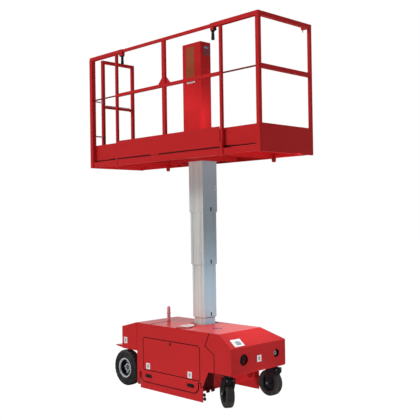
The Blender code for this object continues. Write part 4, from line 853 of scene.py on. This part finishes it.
def castor_plate(side):
    """The plate that carries a castor, and the hexagon heads below it."""
    x, y = CASTOR_PIVOT[0], SIDES[side] * CASTOR_PIVOT[1]
    bm = bmesh.new()
    for dx in (-CASTOR_BOLT_X, CASTOR_BOLT_X):
        for dy in (-CASTOR_BOLT_Y, CASTOR_BOLT_Y):
            hex_bolt(bm, *CASTOR_BOLT, facing((x + dx, y + dy, CASTOR_PLATE_Z), DOWN, (0, 1, 0)))
    piece("castor_bolts_" + side, bm, (BRIGHT_ZINC,), "chassis", edge=0.0004)
    bm = bmesh.new()
    plate(bm, rounded_rect(*CASTOR_PLATE), CASTOR_PLATE_T, Matrix.Translation((x, y, CASTOR_PLATE_Z)))
    piece("castor_plate_" + side, bm, (BLACK_STEEL,), "chassis", edge=0.0006)


def fork_trim(side):
    """Nuts, bolts, cheeks and the face of a castor's fork."""
    swivel = castor_swivel(side)
    bolt_x, bolt_y, bolt_z = FORK_BOLT_AT
    bm = bmesh.new()
    for out in (-1, 1):
        hex_bolt(bm, *AXLE_NUT, swivel @ facing((-CASTOR_TRAIL, out * AXLE_NUT_Y, CASTOR_R), (0, out, 0)))
        hex_bolt(bm, *FORK_BOLT, swivel @ facing((bolt_x, out * bolt_y, bolt_z), FORWARD))
    piece("castor_nuts_" + side, bm, (BRIGHT_ZINC,), "castor_" + side, edge=0.0004)
    bm = bmesh.new()
    for out in (-1, 1):
        plate(bm, on_side(out, FORK_CHEEK), FORK_T, swivel @ facing((0, out * FORK_CHEEK_Y, 0), (0, out, 0)))
    plate(bm, FORK_FACE, FORK_T, swivel @ facing((FORK_FACE_X, 0, 0), FORWARD))
    piece("fork_cheeks_" + side, bm, (BLACK_STEEL,), "castor_" + side, edge=0.0008)


# Mast pieces

def hand_slots():
    """Painted shade: black sheets in the slots near each mast section's foot, for their shaded insides."""
    for node, (body, half, foot) in MAST_SECTIONS.items():
        place = facing((MAST_X + half - HAND_SLOT_SUNK, MAST_Y + HAND_SLOT_Y, foot + HAND_SLOT_Z), FORWARD)
        bm = bmesh.new()
        plate(bm, rounded_rect(*HAND_SLOT), HAND_SLOT_T, place)
        piece("hand_slot_" + node, bm, (BLACK_STEEL,), body)


def mast_marks():
    """Two small white marks on the platform's mast section."""
    body, half, _ = MAST_SECTIONS["mast_outer"]
    bm = bmesh.new()
    for y, z, width, height in MAST_MARKS:
        plate(bm, rounded_rect(width, height, LABEL_CORNER), LABEL_T, facing((MAST_X + half, y, z), FORWARD))
    piece("mast_marks", bm, (WHITE_LABEL,), body)


# Platform pieces

def post_bolts():
    """Bolt heads on the guardrail's end posts."""
    bm = bmesh.new()
    for x in (-POST_X, POST_X):
        for y, z in POST_BOLTS:
            domed_bolt(bm, *POST_BOLT, facing((x, -y, z), NEAR))
    piece("post_bolts", bm, (PAINT_INSIDE,), "platform")


def lock_fittings():
    """Collar above each black grip and the black latch beside its lock."""
    for end, sign in ENDS.items():
        bm = bmesh.new()
        turned(bm, COLLAR_PROFILE, facing((sign * GRIP_X, RAIL_Y, GRIP_TOP_Z), DOWN, (0, 1, 0)), 28)
        piece("grip_collar_" + end, bm, (BLACK_STEEL,), "deck_" + end)
        bm = bmesh.new()
        plate(bm, rounded_rect(*LATCH), LATCH_REACH, facing((sign * LATCH_X, RAIL_Y, LATCH_Z), (sign, 0, 0)))
        piece("latch_" + end, bm, (BLACK_PLASTIC,), "deck_" + end, edge=0.001)


def toe_gaps():
    """Painted shadow: dark strips for the shade in the gaps below the main platform's toe boards."""
    for side, sign in SIDES.items():
        bm = bmesh.new()
        for span in TOE_GAPS:
            path = [(x, TOE_GAP_Z) for x in span]
            strip(bm, on_side(sign, path), TOE_GAP_W, GAP_T, outward(side, RAIL_FACE_Y))
        piece("toe_gap_" + side, bm, (SEAM_AND_GAP_SHADE,), "platform")


def deck_toe_gaps():
    """Painted shadow in the gap below each deck's near toe board, widest where it leaves the main platform.
    """
    for end, sign in ENDS.items():
        bm = bmesh.new()
        plate(bm, [(sign * x, z) for x, z in DECK_GAP], GAP_T, facing((0, -DECK_TOE_Y, 0), NEAR))
        piece("deck_toe_gap_" + end, bm, (SEAM_AND_GAP_SHADE,), "deck_" + end)


def rod_sleeves():
    """Dark paint on the decks' intermediate rods."""
    for end, sign in ENDS.items():
        place = facing((sign * MID_ROD_SPAN[0], RAIL_Y, MID_RAIL_Z), (sign, 0, 0))
        bm = bmesh.new()
        sleeve(bm, MID_ROD_R, MID_ROD_R + SLEEVE_T, MID_ROD_SPAN, place, 24)
        piece("rod_sleeve_" + end, bm, (ROD_PAINT,), "deck_" + end)


def end_rail_sleeves():
    """Pale grey sleeves on the two thin rails beside the portal."""
    bm = bmesh.new()
    for z in END_RAILS_Z:
        place = facing((END_RAIL_X, END_RAIL_SPAN[0], z), (0, 1, 0))
        sleeve(bm, END_RAIL_TIP_R, END_RAIL_R + SLEEVE_T, END_RAIL_SPAN, place, 20)
    piece("end_rail_sleeves", bm, (GREY_BAR_AND_HIGHLIGHT,), "deck_left")


def entry_bar_strip():
    """Painted highlight: a pale strip along the top of the entry bar."""
    bm = bmesh.new()
    place = Matrix.Translation((END_RAIL_X, 0, ENTRY_BAR_TOP_Z))
    plate(bm, rounded_rect(*ENTRY_STRIP), ENTRY_STRIP_T, place)
    piece("entry_bar_strip", bm, (GREY_BAR_AND_HIGHLIGHT,), "entry_bar")


def platform_feet():
    """Round feet over the two pins below the platform's far side."""
    x, y, z = FOOT_PIN
    bm = bmesh.new()
    for end_x in (-x, x):
        turned(bm, FOOT_PROFILE, Matrix.Translation((end_x, y, z)), 28)
    piece("platform_feet", bm, (PAINT_INSIDE,), "platform")


# Scene

def add_floor():
    """A floor that is white to the camera, dim in reflections and glows a little on the object."""
    bpy.ops.mesh.primitive_plane_add(size=FLOOR_HALF * 2, location=(0, 0, FLOOR_Z))
    floor = bpy.context.object
    floor.name = "floor"
    mat = bpy.data.materials.new("floor_white")
    mat.use_nodes = True
    mat.node_tree.nodes.clear()
    path = add_node(mat, "ShaderNodeLightPath").outputs
    matt = add_node(mat, "ShaderNodeBsdfDiffuse", {"Color": (FLOOR_GREY, FLOOR_GREY, FLOOR_GREY, 1)})
    plain = add_node(mat, "ShaderNodeEmission", {"Strength": FLOOR_WHITE})
    sent = add_node(mat, "ShaderNodeMapRange", {"Value": path["Is Glossy Ray"], "To Min": FLOOR_GLOW,
                                                "To Max": FLOOR_GLOSS})
    glow = add_node(mat, "ShaderNodeEmission", {"Strength": sent.outputs["Result"]})
    lit = add_node(mat, "ShaderNodeAddShader", {0: matt.outputs[0], 1: glow.outputs[0]})
    bounced = add_node(mat, "ShaderNodeMixShader", {0: path["Is Glossy Ray"], 1: lit.outputs[0],
                                                    2: glow.outputs[0]})
    shown = add_node(mat, "ShaderNodeMixShader", {0: path["Is Camera Ray"], 1: bounced.outputs[0],
                                                  2: plain.outputs[0]})
    add_node(mat, "ShaderNodeOutputMaterial", {"Surface": shown.outputs[0]})
    floor.data.materials.append(mat)


def add_sky():
    """White to the camera, dimmer in reflections and where it lights the object."""
    world = bpy.data.worlds.new("studio")
    bpy.context.scene.world = world
    world.use_nodes = True
    world.node_tree.nodes.clear()
    path = add_node(world, "ShaderNodeLightPath").outputs
    way = add_node(world, "ShaderNodeTexCoord").outputs["Generated"]
    behind = add_node(world, "ShaderNodeVectorMath", {0: way, 1: BACKDROP_WAY}, operation="DOT_PRODUCT")
    backdrop = between(world, behind.outputs["Value"], *SKY_GLOSS, BACKDROP_SHARE)
    gloss = add_node(world, "ShaderNodeMapRange", {"Value": path["Is Glossy Ray"], "To Min": SKY,
                                                   "To Max": backdrop})
    power = add_node(world, "ShaderNodeMapRange", {"Value": path["Is Camera Ray"],
                                                   "To Min": gloss.outputs["Result"], "To Max": 1.0})
    sky = add_node(world, "ShaderNodeBackground", {"Color": (1, 1, 1, 1),
                                                   "Strength": power.outputs["Result"]})
    add_node(world, "ShaderNodeOutputWorld", {"Surface": sky.outputs[0]})


def add_sun():
    lamp = bpy.data.lights.new("key", "SUN")
    lamp.energy = SUN_STRENGTH
    lamp.color = SUN_COLOUR
    lamp.angle = SUN_SOFTNESS
    obj = bpy.data.objects.new("key", lamp)
    obj.rotation_euler = Vector(SUN_FROM).to_track_quat("Z", "Y").to_euler()
    bpy.context.scene.collection.objects.link(obj)


def add_area_lights():
    """Soft lamps that the camera doesn't see.

    They light the roof and front, the platform's underside, the castors' bay and the column."""
    for name, (at, aim, width, watts, spread) in AREA_LIGHTS.items():
        lamp = bpy.data.lights.new(name, "AREA")
        lamp.shape = "RECTANGLE"
        lamp.size = width
        lamp.size_y = width
        lamp.energy = watts
        lamp.color = AREA_COLOUR
        lamp.spread = math.radians(spread)
        obj = bpy.data.objects.new(name, lamp)
        obj.location = at
        obj.rotation_euler = (Vector(at) - Vector(aim)).to_track_quat("Z", "Y").to_euler()
        obj.visible_camera = False
        obj.visible_glossy = False
        bpy.context.scene.collection.objects.link(obj)


def add_camera():
    data = bpy.data.cameras.new("camera")
    data.sensor_width = SENSOR_MM
    data.lens = LENS_MM
    obj = bpy.data.objects.new("camera", data)
    forward = Vector(CAMERA_FORWARD).normalized()
    right = Vector(CAMERA_RIGHT)
    right = (right - forward * right.dot(forward)).normalized()
    up = right.cross(forward)
    turn = Matrix((right, up, -forward)).transposed().to_4x4()
    obj.matrix_world = Matrix.Translation(CAMERA_AT) @ turn
    bpy.context.scene.collection.objects.link(obj)
    bpy.context.scene.camera = obj


add_floor()
add_sky()
add_sun()
add_area_lights()
add_camera()
bpy.context.scene.view_settings.view_transform = "Standard"

dress_nodes()
labels()
seam_strips()
roof_seams()
guard_fittings()
bay_wall_shade()
lift_slot_pockets()
door_locks()
lamp_cups()
lamp_faces()
chassis_bolts()
roof_slots()
for side in SIDES:
    drive_wheel(side)
    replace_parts(castor_tread(side), "castor_tyre_" + side)
    castor_plate(side)
    fork_trim(side)
post_bolts()
lock_fittings()
toe_gaps()
mast_marks()
hand_slots()
rod_sleeves()
entry_bar_strip()
deck_toe_gaps()
end_rail_sleeves()
platform_feet()
